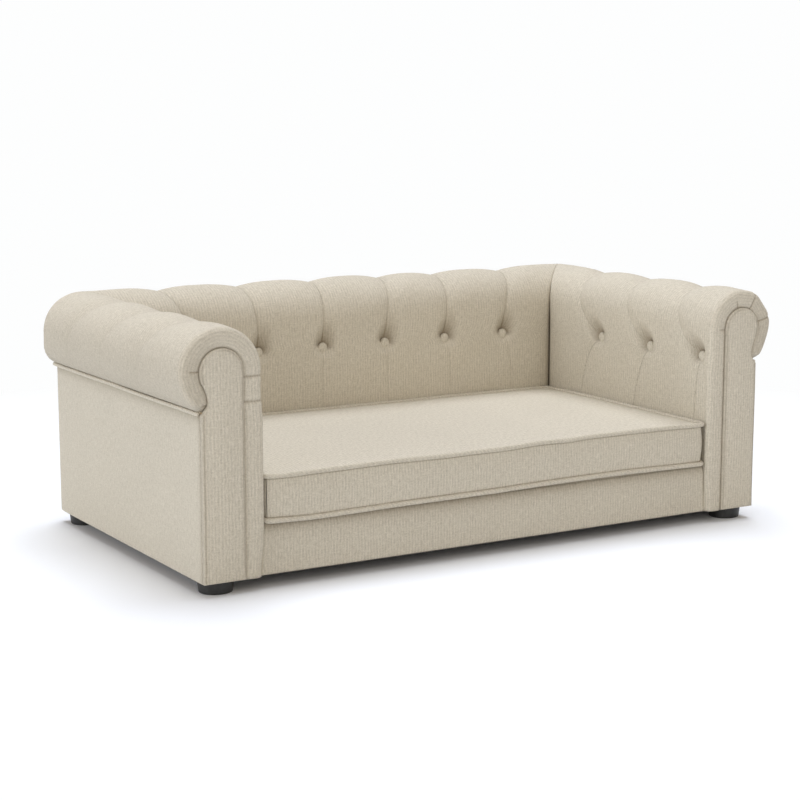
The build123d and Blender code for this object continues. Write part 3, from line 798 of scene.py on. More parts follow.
def end_curve(count):
    """The padding's front end in section: shares outwards and forwards, evenly spaced.

    Outside 0.35 it is the superellipse s^4 + f^4 = 1 of the remaining width. Inside, it
    eases back by 0.17 * t^2.5 towards the groove beside the facing.
    """
    turn = np.linspace(0.0, math.pi / 2, 600)
    outward = 0.35 + 0.65 * np.cos(turn) ** 0.5
    forward = np.sin(turn) ** 0.5
    t = np.linspace(0.0, 1.0, 200)[1:]
    outward = np.concatenate([outward, 0.35 * (1.0 - t)])
    forward = np.concatenate([forward, 1.0 - 0.17 * t**2.5])
    path = resample(np.stack([outward * END_WIDTH, forward * END_DEPTH], -1), np.linspace(0.0, 1.0, count))
    return path[:, 0] / END_WIDTH, path[:, 1] / END_DEPTH


def arm_valleys(run, lean):
    """Where each arm pleat lies along the arm, by run up the profile from the buttons.

    Above a button it leans back by lean * (1 - e^(-run / 38)), scaled to reach the lean
    at the crest, 136 mm up, and once more by 0.9 of the lean past it. Below, it curls back
    by curl * (1 - e^(run / fall)).
    """
    up = (1.0 - np.exp(-np.maximum(run, 0.0) / 38.0)) / (1.0 - math.exp(-136.0 / 38.0))
    up = np.minimum(up, 1.0) + 0.9 * ease(run, 110.0, 300.0)
    down = np.minimum(run, 0.0)
    return [
        y + lean * up + curl * (1.0 - np.exp(down / fall))
        for y, (curl, fall) in zip(ARM_BUTTON_YS, ARM_CURLS)
    ]


def tufted(gaps, buttons, run, sizes, pitch, lean, lines, fold, blunt):
    """What buttons and pleats do to the fabric: pull in millimetres, the gap and strength of a painted shade
    line, and painted shade.

    gaps are the distances from the valleys, buttons those from the buttons themselves, and
    lines the strengths of the painted shade line below, just above and further above a button, and
    of the groove above it.

    A pleat's valley is pleat * amount * (1 - 2p)^k, p the share of the way to the next
    one; k falls from 5.5 by the buttons to 2.2 over the crest, and blunt rounds the bottom
    off. It and the hollows add as squares. Below a button the fabric in front of the crease
    stands proud of that behind.
    """
    amount = (
        0.08
        + 0.12 * ease(run, -120.0, -20.0)
        + 0.45 * ease(run, 5.0, 60.0)
        + 0.35 * ease(run, 60.0, 135.0)
    )
    amount = amount * (1.0 - 0.55 * ease(run, 165.0, 235.0)) * (1.0 - ease(run, 262.0, 290.0))
    gap = nearest(gaps)[0]
    p = np.clip(np.hypot(gap / pitch, blunt * ease(run, 10.0, 40.0)), 0.0, 0.5)
    sharp = 2.2 + 3.3 * (1.0 - ease(run, 40.0, 120.0))
    pleat = sizes["pleat"] * amount * (1.0 - 2.0 * p) ** sharp
    hollows = [hollow_of(one, run, lean) for one in buttons]
    pulled = np.sqrt(pleat**2 + sum((sizes["tuft"] * depth) ** 2 for depth, _ in hollows))
    # painted shade in the buttons' hollows, and faintly along the pleats' valleys
    shade = 1.3 * sum(part for _, part in hollows) + 0.10 * amount * (1.0 - 2.0 * p) ** sharp
    below = ease(run, -118.0, -62.0) * (1.0 - ease(run, -16.0, -7.0))
    above = ease(run, 6.0, 16.0) * (1.0 - 0.5 * ease(run, 150.0, 205.0)) * (1.0 - ease(run, 262.0, 284.0))
    pulled = pulled + sizes["crease"] * np.exp(-((gap / 2.8) ** 2)) * (lines[0] * below + lines[3] * above)
    step = np.where(gap < 0, -1.0, 0.6) * np.exp(-np.abs(gap) / 12.0)
    pulled = pulled + fold * step * below
    # strength of the painted shade line along the crease below each button and the pleat above it
    line = lines[0] * below + above * (lines[2] + lines[1] * np.exp(-np.maximum(run, 0.0) / 30.0))
    return pulled, gap, line, shade


def gathers_of(side, spread, share, behind):
    """The short folds round the facing's head: pull, gap and strength of the painted shade line on the front
    end.

    spread is the angle about the roll, share the way from groove to edge and behind how
    far a point lies behind the end. Between folds the fabric is drawn into straight
    chords, 2.2 mm in half way on the right arm and 0.7 mm on the left.
    """
    turns = sorted(ARM_GATHERS[side])
    radius = HEAD_RADIUS + END_WIDTH * np.clip(share, 0.2, 1.0)
    gaps = [np.radians(spread - turn) * radius for turn, _ in turns]
    reach = share + behind / END_WIDTH
    lines = [1.0 - ease(reach, far - 0.14, far + 0.10) for _, far in turns]
    pull = sum(1.25 * np.exp(-((gap / 2.1) ** 2)) * line for gap, line in zip(gaps, lines))
    gap, line = nearest(gaps, lines)
    angles = np.array([turn for turn, _ in turns])
    part = np.interp(spread, angles, np.arange(len(angles)), left=0.0, right=len(angles) - 1.0)
    flat = np.sin(math.pi * (part % 1.0)) ** 2 * np.where(part >= 3.0, 0.25, 1.0)
    depth = 2.2 if side == "right" else 0.7
    pull = pull + depth * flat * np.clip(share, 0.0, 1.0) ** 1.5 * np.exp(-behind / 20.0)
    return pull, gap, line * np.exp(-((gap / 9.0) ** 2))


def arm_padding_patches(side, sizes):
    """The arm's padding as a closed loop carried along the arm.

    Front to back: the end curve, 28 mm or less across the roll's end and 16 mm deep,
    rises out of the groove beside the facing; then the full section runs straight, and
    at the rear it ends on the mitre or round the corner. The fabric is then moved along
    its normals by the tufts, pleats, gathers and an uneven softness.
    """
    counts = ARM_COUNTS
    low = counts[0]
    outer, inner = section(ARM_SIDE, counts)
    outline = front_outline(counts)
    run = run_of(outer, ARM_BUTTON_Z)
    total = outer.shape[0]
    outward, forward = end_curve(21)
    rounding = len(outward)

    # the front end, from the groove outwards
    width = np.linalg.norm(outer - outline, axis=1)
    end_rows = outline[None] + (outer - outline)[None] * outward[::-1, None, None]
    end_along = BAND_BACK_Y - END_DEPTH * forward[::-1, None] * np.clip(width / 22.0, 0.35, 1.0)[None]
    front_uz = np.concatenate([outline[None], outline[None], end_rows])
    front_along = np.concatenate(
        [np.full((1, total), RIM_Y + 6.5), np.full((1, total), RIM_Y + 4.0), end_along])

    # the padding's inner edge stands proud over the cushion and draws in at the foot
    wall = (outer[:, 0] < -FACE + 0.5)[None]
    nose = ease(-front_along, 259.0, 267.0) * wall * ease(front_uz[..., 0], -33.0, -FACE + 2.0)
    height = outer[None, :, 1]
    swell = 2.2 * ease(height, 30.0, 90.0) * (1.0 - ease(height, 225.0, 268.0))
    swell = swell - 2.6 * (1.0 - ease(height, 18.0, 62.0))
    front_uz[..., 0] -= nose * swell

    # the straight run, whose lowest points lie on the underside
    flat = outer.copy()
    flat[:low, 1] = DECK_Z
    flat[:low, 0] = np.linspace(-46.0, -FACE, low, endpoint=False)
    straight = spaced(
        [BAND_BACK_Y, -236.0, -215.0, -150.0, -128.0, -95.0, -60.0, -20.0, 0.0, 35.0, 70.0, ARM_STRAIGHT_Y],
        [1.7, 1.7, 2.6, 2.6, 1.8, 1.8, 2.8, 2.8, 1.8, 1.8, 2.8, 2.8])[1:]
    straight_along = np.broadcast_to(straight[:, None], (len(straight), total))
    straight_uz = np.broadcast_to(flat, (len(straight), total, 2))

    # the corner
    corner = np.linspace(0.0, 1.0, 36)[1:]
    start = ARM_STRAIGHT_Y - ROLL["y"]
    c_along, c_u, c_z = mitred(corner, flat, ARM_UNDER, REAR_UNDER, start)
    along = np.concatenate([front_along, straight_along, c_along + ROLL["y"]], 0)
    uz = np.concatenate([front_uz, straight_uz, np.stack([c_u, c_z], -1)], 0)
    points = np.stack([ROLL["x"] + uz[..., 0], along, uz[..., 1]], -1)
    rows_front, rows_corner = front_along.shape[0], len(corner)

    # distance to the mitre
    inside = flat[None, :, 0] < 0
    distance = np.where(inside, ROLL["y"] + np.minimum(uz[..., 0], 0.0) - along, FAR)
    distance[-rows_corner:] = np.where(inside, distance[-rows_corner:], way_left(corner, flat, start))
    distance[:rows_front] = FAR

    run_grid = np.broadcast_to(run, along.shape)
    gaps = [along - valley for valley in arm_valleys(run_grid, sizes["lean"])]
    buttons = [along - y for y in ARM_BUTTON_YS]
    pulled, gap, crease, shade = tufted(
        gaps, buttons, run_grid, sizes, ARM_PITCH,
        lean=math.radians(46.0), lines=(0.65, 0.20, 0.12, 0.30), fold=1.4, blunt=0.03)
    band = ease(along, -263.0, -250.0)
    pulled, shade, crease = pulled * band, shade * band, crease * band * ease(along, -258.0, -252.0)
    # painted shade darkens the roll's outer side from below its crest to the underside
    shade = shade + 0.32 * ease(run_grid, 120.0, 250.0)
    pulled, gap, crease, shade = corner_seam(run_grid, distance, pulled, gap, crease, shade)

    # gathers round the facing
    spread = np.degrees(np.arctan2(outer[:, 1] - ROLL["z"], outer[:, 0]))
    below = outer[:, 1] < ROLL["z"]
    spread = np.where(below & (outer[:, 0] < 0), 180.0 + np.degrees((ROLL["z"] - outer[:, 1]) / FACE), spread)
    near = rows_front + 14
    share = np.ones((near, total))
    share[:2] = 0.0
    share[2:rows_front] = outward[::-1, None]
    behind = np.maximum(along[:near] - BAND_BACK_Y, 0.0)
    fold, fold_gap, fold_line = gathers_of(side, spread[None], share, behind)
    fold = fold * np.where(np.arange(near) < 3, 0.0, 1.0)[:, None]
    pulled[:near] += fold
    # where a gather's painted shade line is stronger, it takes the place of the tufting's line
    gathered = fold_line > crease[:near]
    gap[:near] = np.where(gathered, fold_gap, gap[:near])
    crease[:near] = np.where(gathered, 0.6 * fold_line, crease[:near])

    soft = softness(0.5, 11 if side == "right" else 23, along, run_grid, distance, (262.0, 288.0))
    soft = soft * ease(along, RIM_Y, -240.0)

    keep = np.ones(along.shape)
    keep[:, :low] = np.where(along[:, :low] > BAND_BACK_Y - 0.5, 0.0, 1.0)
    keep[:2] = 0.0
    meet = (1.0 - ease(distance, 0.0, 24.0)) * inside
    points = drawn_in(points, (pulled - soft) * keep, (rows_front + 20, low + 10), 0, meet)

    # the inside follows the frame
    in_flat = inner.copy()
    in_flat[:low, 1] = DECK_Z
    in_flat[:low, 0] = np.linspace(-46.0, -HEAD_RADIUS, low, endpoint=False)
    in_front = np.broadcast_to(inner, (rows_front, total, 2)).copy()
    in_front[:2] = outline
    in_front_along = np.concatenate(
        [np.full(2, RIM_Y + 6.5), np.linspace(RIM_Y + 7.0, BAND_BACK_Y, rounding)])
    in_front_along = np.broadcast_to(in_front_along[:, None], (rows_front, total))
    i_along, i_u, i_z = mitred(corner, in_flat, ARM_UNDER, REAR_UNDER, start)
    in_along = np.concatenate([in_front_along, straight_along, i_along + ROLL["y"]], 0)
    in_uz = np.concatenate(
        [in_front, np.broadcast_to(in_flat, (len(straight), total, 2)), np.stack([i_u, i_z], -1)], 0)
    in_points = np.stack([ROLL["x"] + in_uz[..., 0], in_along, in_uz[..., 1]], -1)

    # past the corner and round the front the cloth's own run carries on
    run_along = stretch_of(points, 0)
    weave = (run_along - run_along[rows_front - 1 : rows_front]) + BAND_BACK_Y
    uv_out = np.stack([weave, run_grid], -1) * MM
    return closed_pad(points, in_points, uv_out, (gap, crease, shade), side == "left")


def closed_pad(points, in_points, uv_out, marks, flip):
    """The patches of a pad: its skin and its back joined along both edges, and its two ends."""
    uv_in = uv_out + np.array([0.0, 0.4])
    patches = [Patch(
        np.concatenate([points, in_points[:, ::-1], points[:, :1]], axis=1),
        np.concatenate([uv_out, uv_in[:, ::-1], uv_out[:, :1]], axis=1),
        *(np.concatenate([mark, 0.0 * mark, mark[:, :1]], axis=1) for mark in marks),
    )]
    for row in (0, -1):
        ends = np.stack([points[row], in_points[row]], 0)
        patches.append(Patch(
            ends, np.stack([uv_out[row], uv_out[row] + 0.003], 0), *(mark[row] for mark in marks)))
    if flip:
        flip_patches(patches)
    return patches


def sizes_of(context):
    """The padding sizes in millimetres."""
    group = context.scene.sofa_padding
    return {
        "tuft": group.tuft_depth / MM,
        "pleat": group.pleat_depth / MM,
        "crease": group.crease_depth / MM,
        "lean": group.arm_pleat_lean / MM,
    }


class SOFA_OT_arm_padding(bpy.types.Operator):
    """Pads both arms: rolled, buttoned and pleated, with a rounded front end"""

    bl_idname = "sofa.arm_padding"
    bl_label = "Arm padding"

    def execute(self, context):
        sizes = sizes_of(context)
        for side in ("right", "left"):
            piece = sewn(
                f"{side}_arm_upholstery", arm_padding_patches(side, sizes),
                (f"{side}_arm_cover", f"{side}_arm_foam"))
        return {"FINISHED"}


# ---------------------------------------------------------------- back


def back_padding_patches(sizes):
    """The back's padding: its section carried along X, on a mitre or round a corner at both ends.

    Its pleats rise nearly straight from the buttons; below them the creases lean outwards
    by 0.058 of the button's distance from the middle.
    """
    outer, inner = (profile[BACK_COUNTS[0]:] for profile in section(REAR_SIDE, BACK_COUNTS))
    run = run_of(outer, BACK_BUTTON_Z)
    total = outer.shape[0]
    knots, steps = [-BACK_STRAIGHT_X], [3.0]
    for x in BACK_BUTTON_XS:
        knots += [x - 34.0, x - 20.0, x + 20.0, x + 34.0]
        steps += [3.0, 1.8, 1.8, 3.0]
    straight = spaced([*knots, BACK_STRAIGHT_X], [*steps, 3.0])
    corner = np.linspace(0.0, 1.0, 34)[1:]
    start = BACK_STRAIGHT_X - ROLL["x"]

    def rows(profile):
        c_along, c_u, c_z = mitred(corner, profile, REAR_UNDER, ARM_UNDER, start)
        far = np.stack([ROLL["x"] + c_along, ROLL["y"] + c_u, c_z], -1)
        body_along = np.broadcast_to(straight[:, None], (len(straight), total))
        body = np.stack([
            body_along,
            np.broadcast_to(ROLL["y"] + profile[:, 0], body_along.shape),
            np.broadcast_to(profile[:, 1], body_along.shape)], -1)
        return np.concatenate([side_flip(far[::-1]), body, far], 0)

    points = rows(outer)
    inside = rows(inner)
    run_grid = np.broadcast_to(run, points.shape[:2])
    along = points[..., 0]

    face = outer[None, :, 0] < 0
    distance = np.where(face, ROLL["x"] + np.minimum(outer[None, :, 0], 0.0) - np.abs(along), FAR)
    left_out = way_left(corner, outer, start)
    count = len(corner)
    distance[-count:] = np.where(face, distance[-count:], left_out)
    distance[:count] = np.where(face, distance[:count], left_out[::-1])

    down = 1.0 - np.exp(np.minimum(run_grid, 0.0) / 26.0)
    gaps = [
        along - (x + x * 0.058 * down + drift * ease(run_grid, 5.0, 150.0))
        for x, drift in zip(BACK_BUTTON_XS, BACK_DRIFTS)
    ]
    buttons = [along - x for x in BACK_BUTTON_XS]
    pulled, gap, crease, shade = tufted(
        gaps, buttons, run_grid, sizes, BACK_PITCH,
        lean=math.radians(14.0), lines=(0.16, 0.30, 0.30, 0.45), fold=0.0, blunt=0.0)
    pulled, gap, crease, shade = corner_seam(run_grid, distance, pulled, gap, crease, shade)
    soft = softness(0.45, 37, along, run_grid, distance, (255.0, 280.0))
    meet = np.sign(along) * (1.0 - ease(distance, 0.0, 24.0)) * face
    points = drawn_in(points, pulled - soft, (count + 20, 10), 1, meet)
    run_along = stretch_of(points, 0)
    middle = points.shape[0] // 2
    weave = run_along - run_along[middle : middle + 1]
    return closed_pad(points, inside, np.stack([weave, run_grid], -1) * MM, (gap, crease, shade), False)


class SOFA_OT_back_padding(bpy.types.Operator):
    """Pads the back: one roll with six buttons, pleated and mitred into the arms"""

    bl_idname = "sofa.back_padding"
    bl_label = "Back padding"

    def execute(self, context):
        patches = back_padding_patches(sizes_of(context))
        piece = sewn("back_upholstery", patches, ("back_cover", "back_foam"))
        return {"FINISHED"}


# ---------------------------------------------------------------- panels


def facing_path():
    """The facing's outline in (u, z), from its inner foot over the head to its outer foot."""
    inner_edge = np.stack([np.full(60, -HEAD_RADIUS), np.linspace(FOOT_Z, 299.0, 60)], -1)
    head = arc(HEAD_RADIUS, 180.0, -35.0, 60)
    neck = np.array([
        [23.4, 274.5], [21.3, 268.0], [20.5, 262.0], [21.2, 257.0], [23.4, 252.0],
        [26.6, 247.8], [30.0, 244.5]])
    outer_edge = np.stack([np.full(50, 30.0), np.linspace(243.0, FOOT_Z, 50)], -1)
    return np.concatenate([inner_edge, head, neck, outer_edge])


def facing_patches(side):
    """The facing: a padded board whose edge is turned with a 3 mm round.

    Rings run in from the outline to the spine, the line up the middle of the stem and the
    head. The front rises 8.6 mm over the board, and swells 1.2 mm more towards the spine
    with the sine of the way. A faint painted shade line lies 3.2 mm inside the edge, strongest
    beside the arm's padding and along the outer edge, and painted shade darkens the turned edge.
    """
    path = resample(facing_path(), np.linspace(0.0, 1.0, 300))
    middle = np.clip(path[:, 1], FOOT_Z + 30.0, ROLL["z"] - 6.0)
    spine = np.stack([np.interp(middle, [244.0, 262.0, 280.0, 300.0], [-1.0, -4.0, -2.0, 0.0]), middle], -1)
    way = spine - path
    length = np.linalg.norm(way, axis=1, keepdims=True)
    inward = way / np.maximum(length, 1e-6)
    rings = np.array([0.3, 0.3, 0.3, 0.5, 1.0, 1.8, 2.6, 3.2, 3.9, 5.0, 6.8, 9.5])
    heights = np.array([0.0, 3.0, 5.2, 6.3, 7.1, 7.6, 7.85, 7.9, 8.05, 8.25, 8.45, 8.6])
    back = FRONT_Y + 8.0
    uz = [path + inward * np.minimum(d, length * 0.4) for d in rings]
    first = uz[-1]
    shares = np.linspace(0.0, 1.0, 9)[1:]
    uz = np.stack(uz + [first + (spine - first) * share for share in shares])
    y = back - np.concatenate([heights, heights[-1] + 1.2 * np.sin(shares * math.pi / 2)])
    soft = 0.25 * ripple(uz[..., 0], uz[..., 1], 5 if side == "right" else 6, low=40.0, high=150.0)
    y = y[:, None] - soft * np.clip((back - y[:, None]) / 8.0, 0.0, 1.0)
    points = np.stack([ROLL["x"] + uz[..., 0], y, uz[..., 1]], -1)
    inside = np.concatenate([rings, np.full(len(shares), 30.0)])
    gap = inside[:, None] - 3.2
    # strength of the painted shade line beside the padding and along the outer edge
    by_pad = 0.40 * ease(-path[:, 0], -16.0, 10.0) + 0.45 * (path[:, 0] > 29.0)
    # painted shade on the turned edge
    edge_shade = 0.5 * np.exp(-inside / 2.2)
    uv = uz * MM
    uv[:3, :, 0] += (np.array([8.0, 5.0, 2.5]) * MM)[:, None]
    rear_rows = np.stack([uz[0], spine])
    level = np.full(rear_rows.shape[:2], back)
    rear = np.stack([ROLL["x"] + rear_rows[..., 0], level, rear_rows[..., 1]], -1)
    patches = [
        Patch(points, uv, gap, by_pad[None], edge_shade[:, None]),
        Patch(rear, rear_rows * MM),
        Patch(np.stack([points[:, 0], points[:, -1]], 0), np.stack([uv[:, 0], uv[:, -1]], 0)),
        Patch(np.stack([rear[:, 0], rear[:, -1]], 0), np.zeros((2, 2, 2))),
    ]
    if side == "left":
        flip_patches(patches)
    return patches


# Panels: width, height, thickness, puff, width of the rounded edge
SIDE_PANEL = (523.4, 230.0, 2.0, 0.9, 2.2)
REAR_PANEL = (935.6, 230.0, 2.0, 0.9, 2.2)
RAIL_PANEL = (759.6, 72.3, 8.0, 1.3, 3.6)
# Where the painted shadow under the roll starts, up the side and rear panels
UNDER_ROLL = 226.0


def raised(turned, radius, up):
    """How far a panel's lower corner is lifted where its edge turns, a quarter round's height.

    It is radius * (1 - sqrt(1 - turned^2)), eased out over 30 mm of height.
    """
    return radius * (1.0 - np.sqrt(1.0 - turned**2)) * (1.0 - ease(up, 0.0, 30.0))


def slab_patches(size, seed, place, shaded, spacing):
    """A stretched panel over a board: flat behind, its front swelling from rounded edges.

    The front's height is thickness - edge + edge * sqrt(1 - (1 - d / edge)^2) within the
    edge's width d, plus puff times the sines of both shares to the power 0.6, plus an
    uneven softness. place turns (across, up, out) into the sofa's frame, and shaded gives
    the painted shade at (across, up).
    """
    width, height, thickness, puff, edge = size
    nu = max(8, int(width / spacing))
    nv = max(8, int(height / spacing))
    rim = edge * (1.0 - np.cos(np.linspace(0.0, math.pi / 2, 6)))
    a = np.concatenate([rim, np.linspace(edge, width - edge, nu)[1:-1], width - rim[::-1]])
    b = np.concatenate([rim, np.linspace(edge, height - edge, nv)[1:-1], height - rim[::-1]])
    across, up = np.meshgrid(a, b, indexing="ij")
    near = np.minimum(np.minimum(across, width - across), np.minimum(up, height - up))
    share = np.clip(near / edge, 0.0, 1.0)
    rise = thickness - edge + edge * np.sqrt(1.0 - (1.0 - share) ** 2)
    wide, tall = (np.sin(math.pi * np.clip(a, 0, 1)) ** 0.6 for a in (across / width, up / height))
    out = rise + puff * wide * tall + 0.3 * ripple(across, up, seed) * ease(near, 0.0, 25.0)
    front = place(across, up, out)
    uv = np.stack([across, up], -1) * MM
    back = place(across, up, np.zeros_like(out))
    patches = [Patch(front, uv, shade=shaded(across, up)), Patch(back, uv)]
    for rows in ((slice(None), 0), (slice(None), -1), (0, slice(None)), (-1, slice(None))):
        ends = np.stack([front[rows], back[rows]], 0)
        patches.append(Patch(ends, np.stack([uv[rows], uv[rows] + 0.002], 0)))
    return patches


class SOFA_OT_panels(bpy.types.Operator):
    """Covers the facings, the sides, the rear and the front rail"""

    bl_idname = "sofa.panels"
    bl_label = "Panels"

    def execute(self, context):
        for side in ("right", "left"):
            sign = 1.0 if side == "right" else -1.0
            piece = sewn(f"{side}_arm_facing_panel", facing_patches(side), (f"{side}_arm_facing",))

            def on_side(across, up, out, sign=sign):
                x = 468.1 + out - 2.2 * ease(across, 516.0, SIDE_PANEL[0])
                lift = raised(np.clip((across - 507.4) / 16.0, 0.0, 1.0), 10.0, up)
                return np.stack([sign * x, -265.6 + across, FOOT_Z - 0.8 + up + lift], -1)

            # painted shadow under the roll's overhang, and painted shade along the front edge beside the
            # facing
            def by_roll(across, up):
                return 0.95 * np.exp(-(UNDER_ROLL - up).clip(0.0) / 6.5) + 0.60 * np.exp(-across / 3.0)

            piece = sewn(
                f"{side}_side_panel", slab_patches(SIDE_PANEL, 41 if sign > 0 else 42, on_side, by_roll, 5.0),
                (f"{side}_arm_side_cover",), material="sofa_linen_side")

        def on_rear(across, up, out):
            turned = np.clip(1.0 - np.minimum(across, REAR_PANEL[0] - across) / 12.0, 0.0, 1.0)
            lift = raised(turned, 11.0, up)
            return np.stack([467.8 - across, 256.1 + out, FOOT_Z - 0.6 + up + lift], -1)

        # painted shadow under the back's roll
        def under_back(across, up):
            return 0.5 * np.exp(-(UNDER_ROLL - up).clip(0.0) / 5.0)

        piece = sewn(
            "rear_panel", slab_patches(REAR_PANEL, 43, on_rear, under_back, 6.0),
            ("back_rear_cover",), material="sofa_linen_side")

        def on_rail(across, up, out):
            width, height = RAIL_PANEL[:2]
            edge = np.minimum(across, width - across)
            spread = 2.3 * (1.0 - ease(up, 4.0, 48.0)) * (1.0 - ease(edge, 0.0, 16.0)) * ease(out, 2.0, 6.0)
            x = -width / 2 + across + np.where(across < width / 2, -spread, spread)
            turned = 2.5 * ease(up, 60.0, height) * ease(out, 2.0, 6.0)
            return np.stack([x, -256.1 - out + turned, FOOT_Z - 0.6 + up], -1)

        # painted shadow under the cushion's overhanging piping, stronger towards the left
        def under_cushion(across, up):
            return (0.95 - 0.3 * ease(across, 250.0, 650.0)) * np.exp(-(68.0 - up).clip(0.0) / 9.0)

        patches = slab_patches(RAIL_PANEL, 44, on_rail, under_cushion, 4.0)
        piece = sewn("front_rail_panel", patches, ("front_rail_cover",))
        return {"FINISHED"}


# ---------------------------------------------------------------- cords of trim


def tube_patches(path, radius, sides=14, closed=True, uneven=0.0, seed=0):
    """A round cord on a path: rings of a circle square to the path, radius times an uneven share."""
    path = np.asarray(path, float)
    if closed:
        along = np.roll(path, -1, 0) - np.roll(path, 1, 0)
    else:
        along = np.gradient(path, axis=0)
    along = along / np.linalg.norm(along, axis=1, keepdims=True)
    side = np.cross(along, np.array([0.0, 0.0, 1.0]))
    side = side / np.linalg.norm(side, axis=1, keepdims=True)
    rise = np.cross(side, along)
    run = stretch_of(path[:, None], 0)[:, 0]
    girth = radius * (1.0 + uneven * ripple(run, run * 0.0, seed, low=18.0, high=90.0))
    turn = np.linspace(0.0, math.tau, sides + 1)
    ring = (
        side[:, None] * np.cos(turn)[None, :, None] + rise[:, None] * np.sin(turn)[None, :, None]
    ) * girth[:, None, None]
    points = path[:, None] + ring
    # the cover is cut on the cross, so its yarns run at 45 degrees to the cord
    run, wrap = np.broadcast_arrays(run[:, None], (turn * radius)[None])
    uv = np.stack([run + wrap, run - wrap], -1) * MM * math.sqrt(0.5)
    if closed:
        points = np.concatenate([points, points[:1]], 0)
        step = np.linalg.norm(path[0] - path[-1]) * MM * math.sqrt(0.5)
        return [Patch(points, np.concatenate([uv, uv[-1:] + step], 0))]
    patches = [Patch(points, uv)]
    for row in (0, -1):
        middle = np.broadcast_to(path[row], points[row].shape)
        patches.append(Patch(np.stack([points[row], middle], 0), np.stack([uv[row], uv[row]], 0)))
    return patches


def rounded_corner(a, corner, b, radius, count=10):
    """Points of a tangent arc between two square runs that meet at a corner.

    They are the arc's middle less radius * cos(t) along one run and radius * sin(t) along
    the other.
    """
    a, corner, b = (np.asarray(p, float) for p in (a, corner, b))
    first = (a - corner) / np.linalg.norm(a - corner)
    second = (b - corner) / np.linalg.norm(b - corner)
    middle = corner + (first + second) * radius
    turn = np.linspace(0.0, math.pi / 2, count)
    return middle - second * radius * np.cos(turn)[:, None] - first * radius * np.sin(turn)[:, None]


class SOFA_OT_roll_welt(bpy.types.Operator):
    """Lays the corded edge under the rolls, round the sides and the rear"""

    bl_idname = "sofa.roll_welt"
    bl_label = "Roll welt"

    def execute(self, context):
        x, y, z, step = 472.9, 260.9, 246.2, 4.0
        right = np.array([x, -258.0, z])
        far = np.array([x, y, z])
        left, end = side_flip(far), side_flip(right)
        tucked = np.array([x - 1.6, -265.6, z - 0.4])
        path = np.concatenate([
            [tucked], [right], rounded_corner(right, far, left, 7.0),
            rounded_corner(far, left, end, 7.0), [end], [side_flip(tucked)]])
        length = stretch_of(path[:, None], 0)[-1, 0]
        path = resample(path, np.linspace(0.0, 1.0, int(length / step)))
        run = np.arange(len(path)) * step
        path[:, 2] += 0.35 * ripple(run, run * 0.0, 71, low=80.0, high=260.0)
        cord = tube_patches(path, 2.7, closed=False, uneven=0.03, seed=72)
        sewn("roll_welt_cord", cord, ("roll_welt",))
        return {"FINISHED"}


# ---------------------------------------------------------------- buttons


def button_patches(place, toward, seed):
    """A covered button: a skirt that widens to the rim, then a soft dome, a little uneven round.

    Its rings of given radius and height are scaled by 1 + 0.012 * sin(3t + seed)
    + 0.010 * sin(5t + 2 * seed), t being the turn.
    """
    place, toward = np.array(place, float), np.array(toward, float)
    side = np.cross(toward, [0.0, 0.0, 1.0])
    up = np.array([0.0, 0.0, 1.0])
    radius = np.array([0.0, 5.6, 6.8, 7.7, 8.0, 7.7, 7.1, 6.2, 4.9, 3.4, 1.7, 0.0])
    height = np.array([-10.2, -10.2, -10.1, -8.6, -6.6, -5.6, -4.8, -4.15, -3.7, -3.45, -3.35, -3.3])
    turn = np.linspace(0.0, math.tau, 33)
    wobble = 1.0 + 0.012 * np.sin(3 * turn + seed) + 0.010 * np.sin(5 * turn + 2 * seed)
    ring = side[None] * np.cos(turn)[:, None] + up[None] * np.sin(turn)[:, None]
    points = (
        place + toward * height[:, None, None]
        + ring[None] * (radius[:, None] * wobble[None])[..., None]
    )
    flat = np.stack([radius[:, None] * np.cos(turn)[None], radius[:, None] * np.sin(turn)[None]], -1)
    return Patch(points, flat * MM + seed * 0.07)


class SOFA_OT_buttons(bpy.types.Operator):
    """Sets the covered buttons of the arms and the back"""

    bl_idname = "sofa.buttons"
    bl_label = "Buttons"

    def execute(self, context):
        x, y = ROLL["x"] - FACE, ROLL["y"] - FACE
        rows = {
            "right_arm": ((-1.0, 0.0, 0.0), [(x, along, ARM_BUTTON_Z) for along in ARM_BUTTON_YS]),
            "left_arm": ((1.0, 0.0, 0.0), [(-x, along, ARM_BUTTON_Z) for along in ARM_BUTTON_YS]),
            "back": ((0.0, -1.0, 0.0), [(across, y, BACK_BUTTON_Z) for across in BACK_BUTTON_XS]),
        }
        for row, (toward, places) in rows.items():
            buttons = [button_patches(place, toward, i + 1) for i, place in enumerate(places)]
            sewn(f"{row}_covered_buttons", buttons, (f"{row}_buttons",))
        return {"FINISHED"}


# ---------------------------------------------------------------- cushion

CUSHION = dict(x=375.6, front=-267.2, rear=150.0, low=95.4, high=155.6, corner=9.0)
# The zip's pocket in the rear boxing: half width and half height, each from where to where its
# sides ease in, its middle height and its floor
POCKET = dict(width=(260.5, 266.0), height=(12.2, 16.0), z=125.3, floor=143.2)
# Places across the front in millimetres, and how far the piping lies below its mean there
HIGH_XS = (
    -376.0, -336.0, -312.0, -264.0, -216.0, -168.0, -96.0, -48.0, 0.0,
    24.0, 60.0, 96.0, 120.0, 150.0, 240.0, 312.0, 376.0)
HIGH_SHARES = (1.1, 1.5, 1.05, 0.85, 0.5, 0.25, 0.95, 0.65, 0.7, 0.5, -0.6, -0.4, 0.0, -0.95, -1.0, -0.6, 0.3)
LOW_XS = (-376.0, -312.0, -288.0, -168.0, 0.0, 72.0, 150.0, 216.0, 300.0, 376.0)
LOW_SHARES = (0.7, 1.7, 1.7, 0.65, 0.1, -0.8, -1.2, -1.4, -0.7, 0.0)


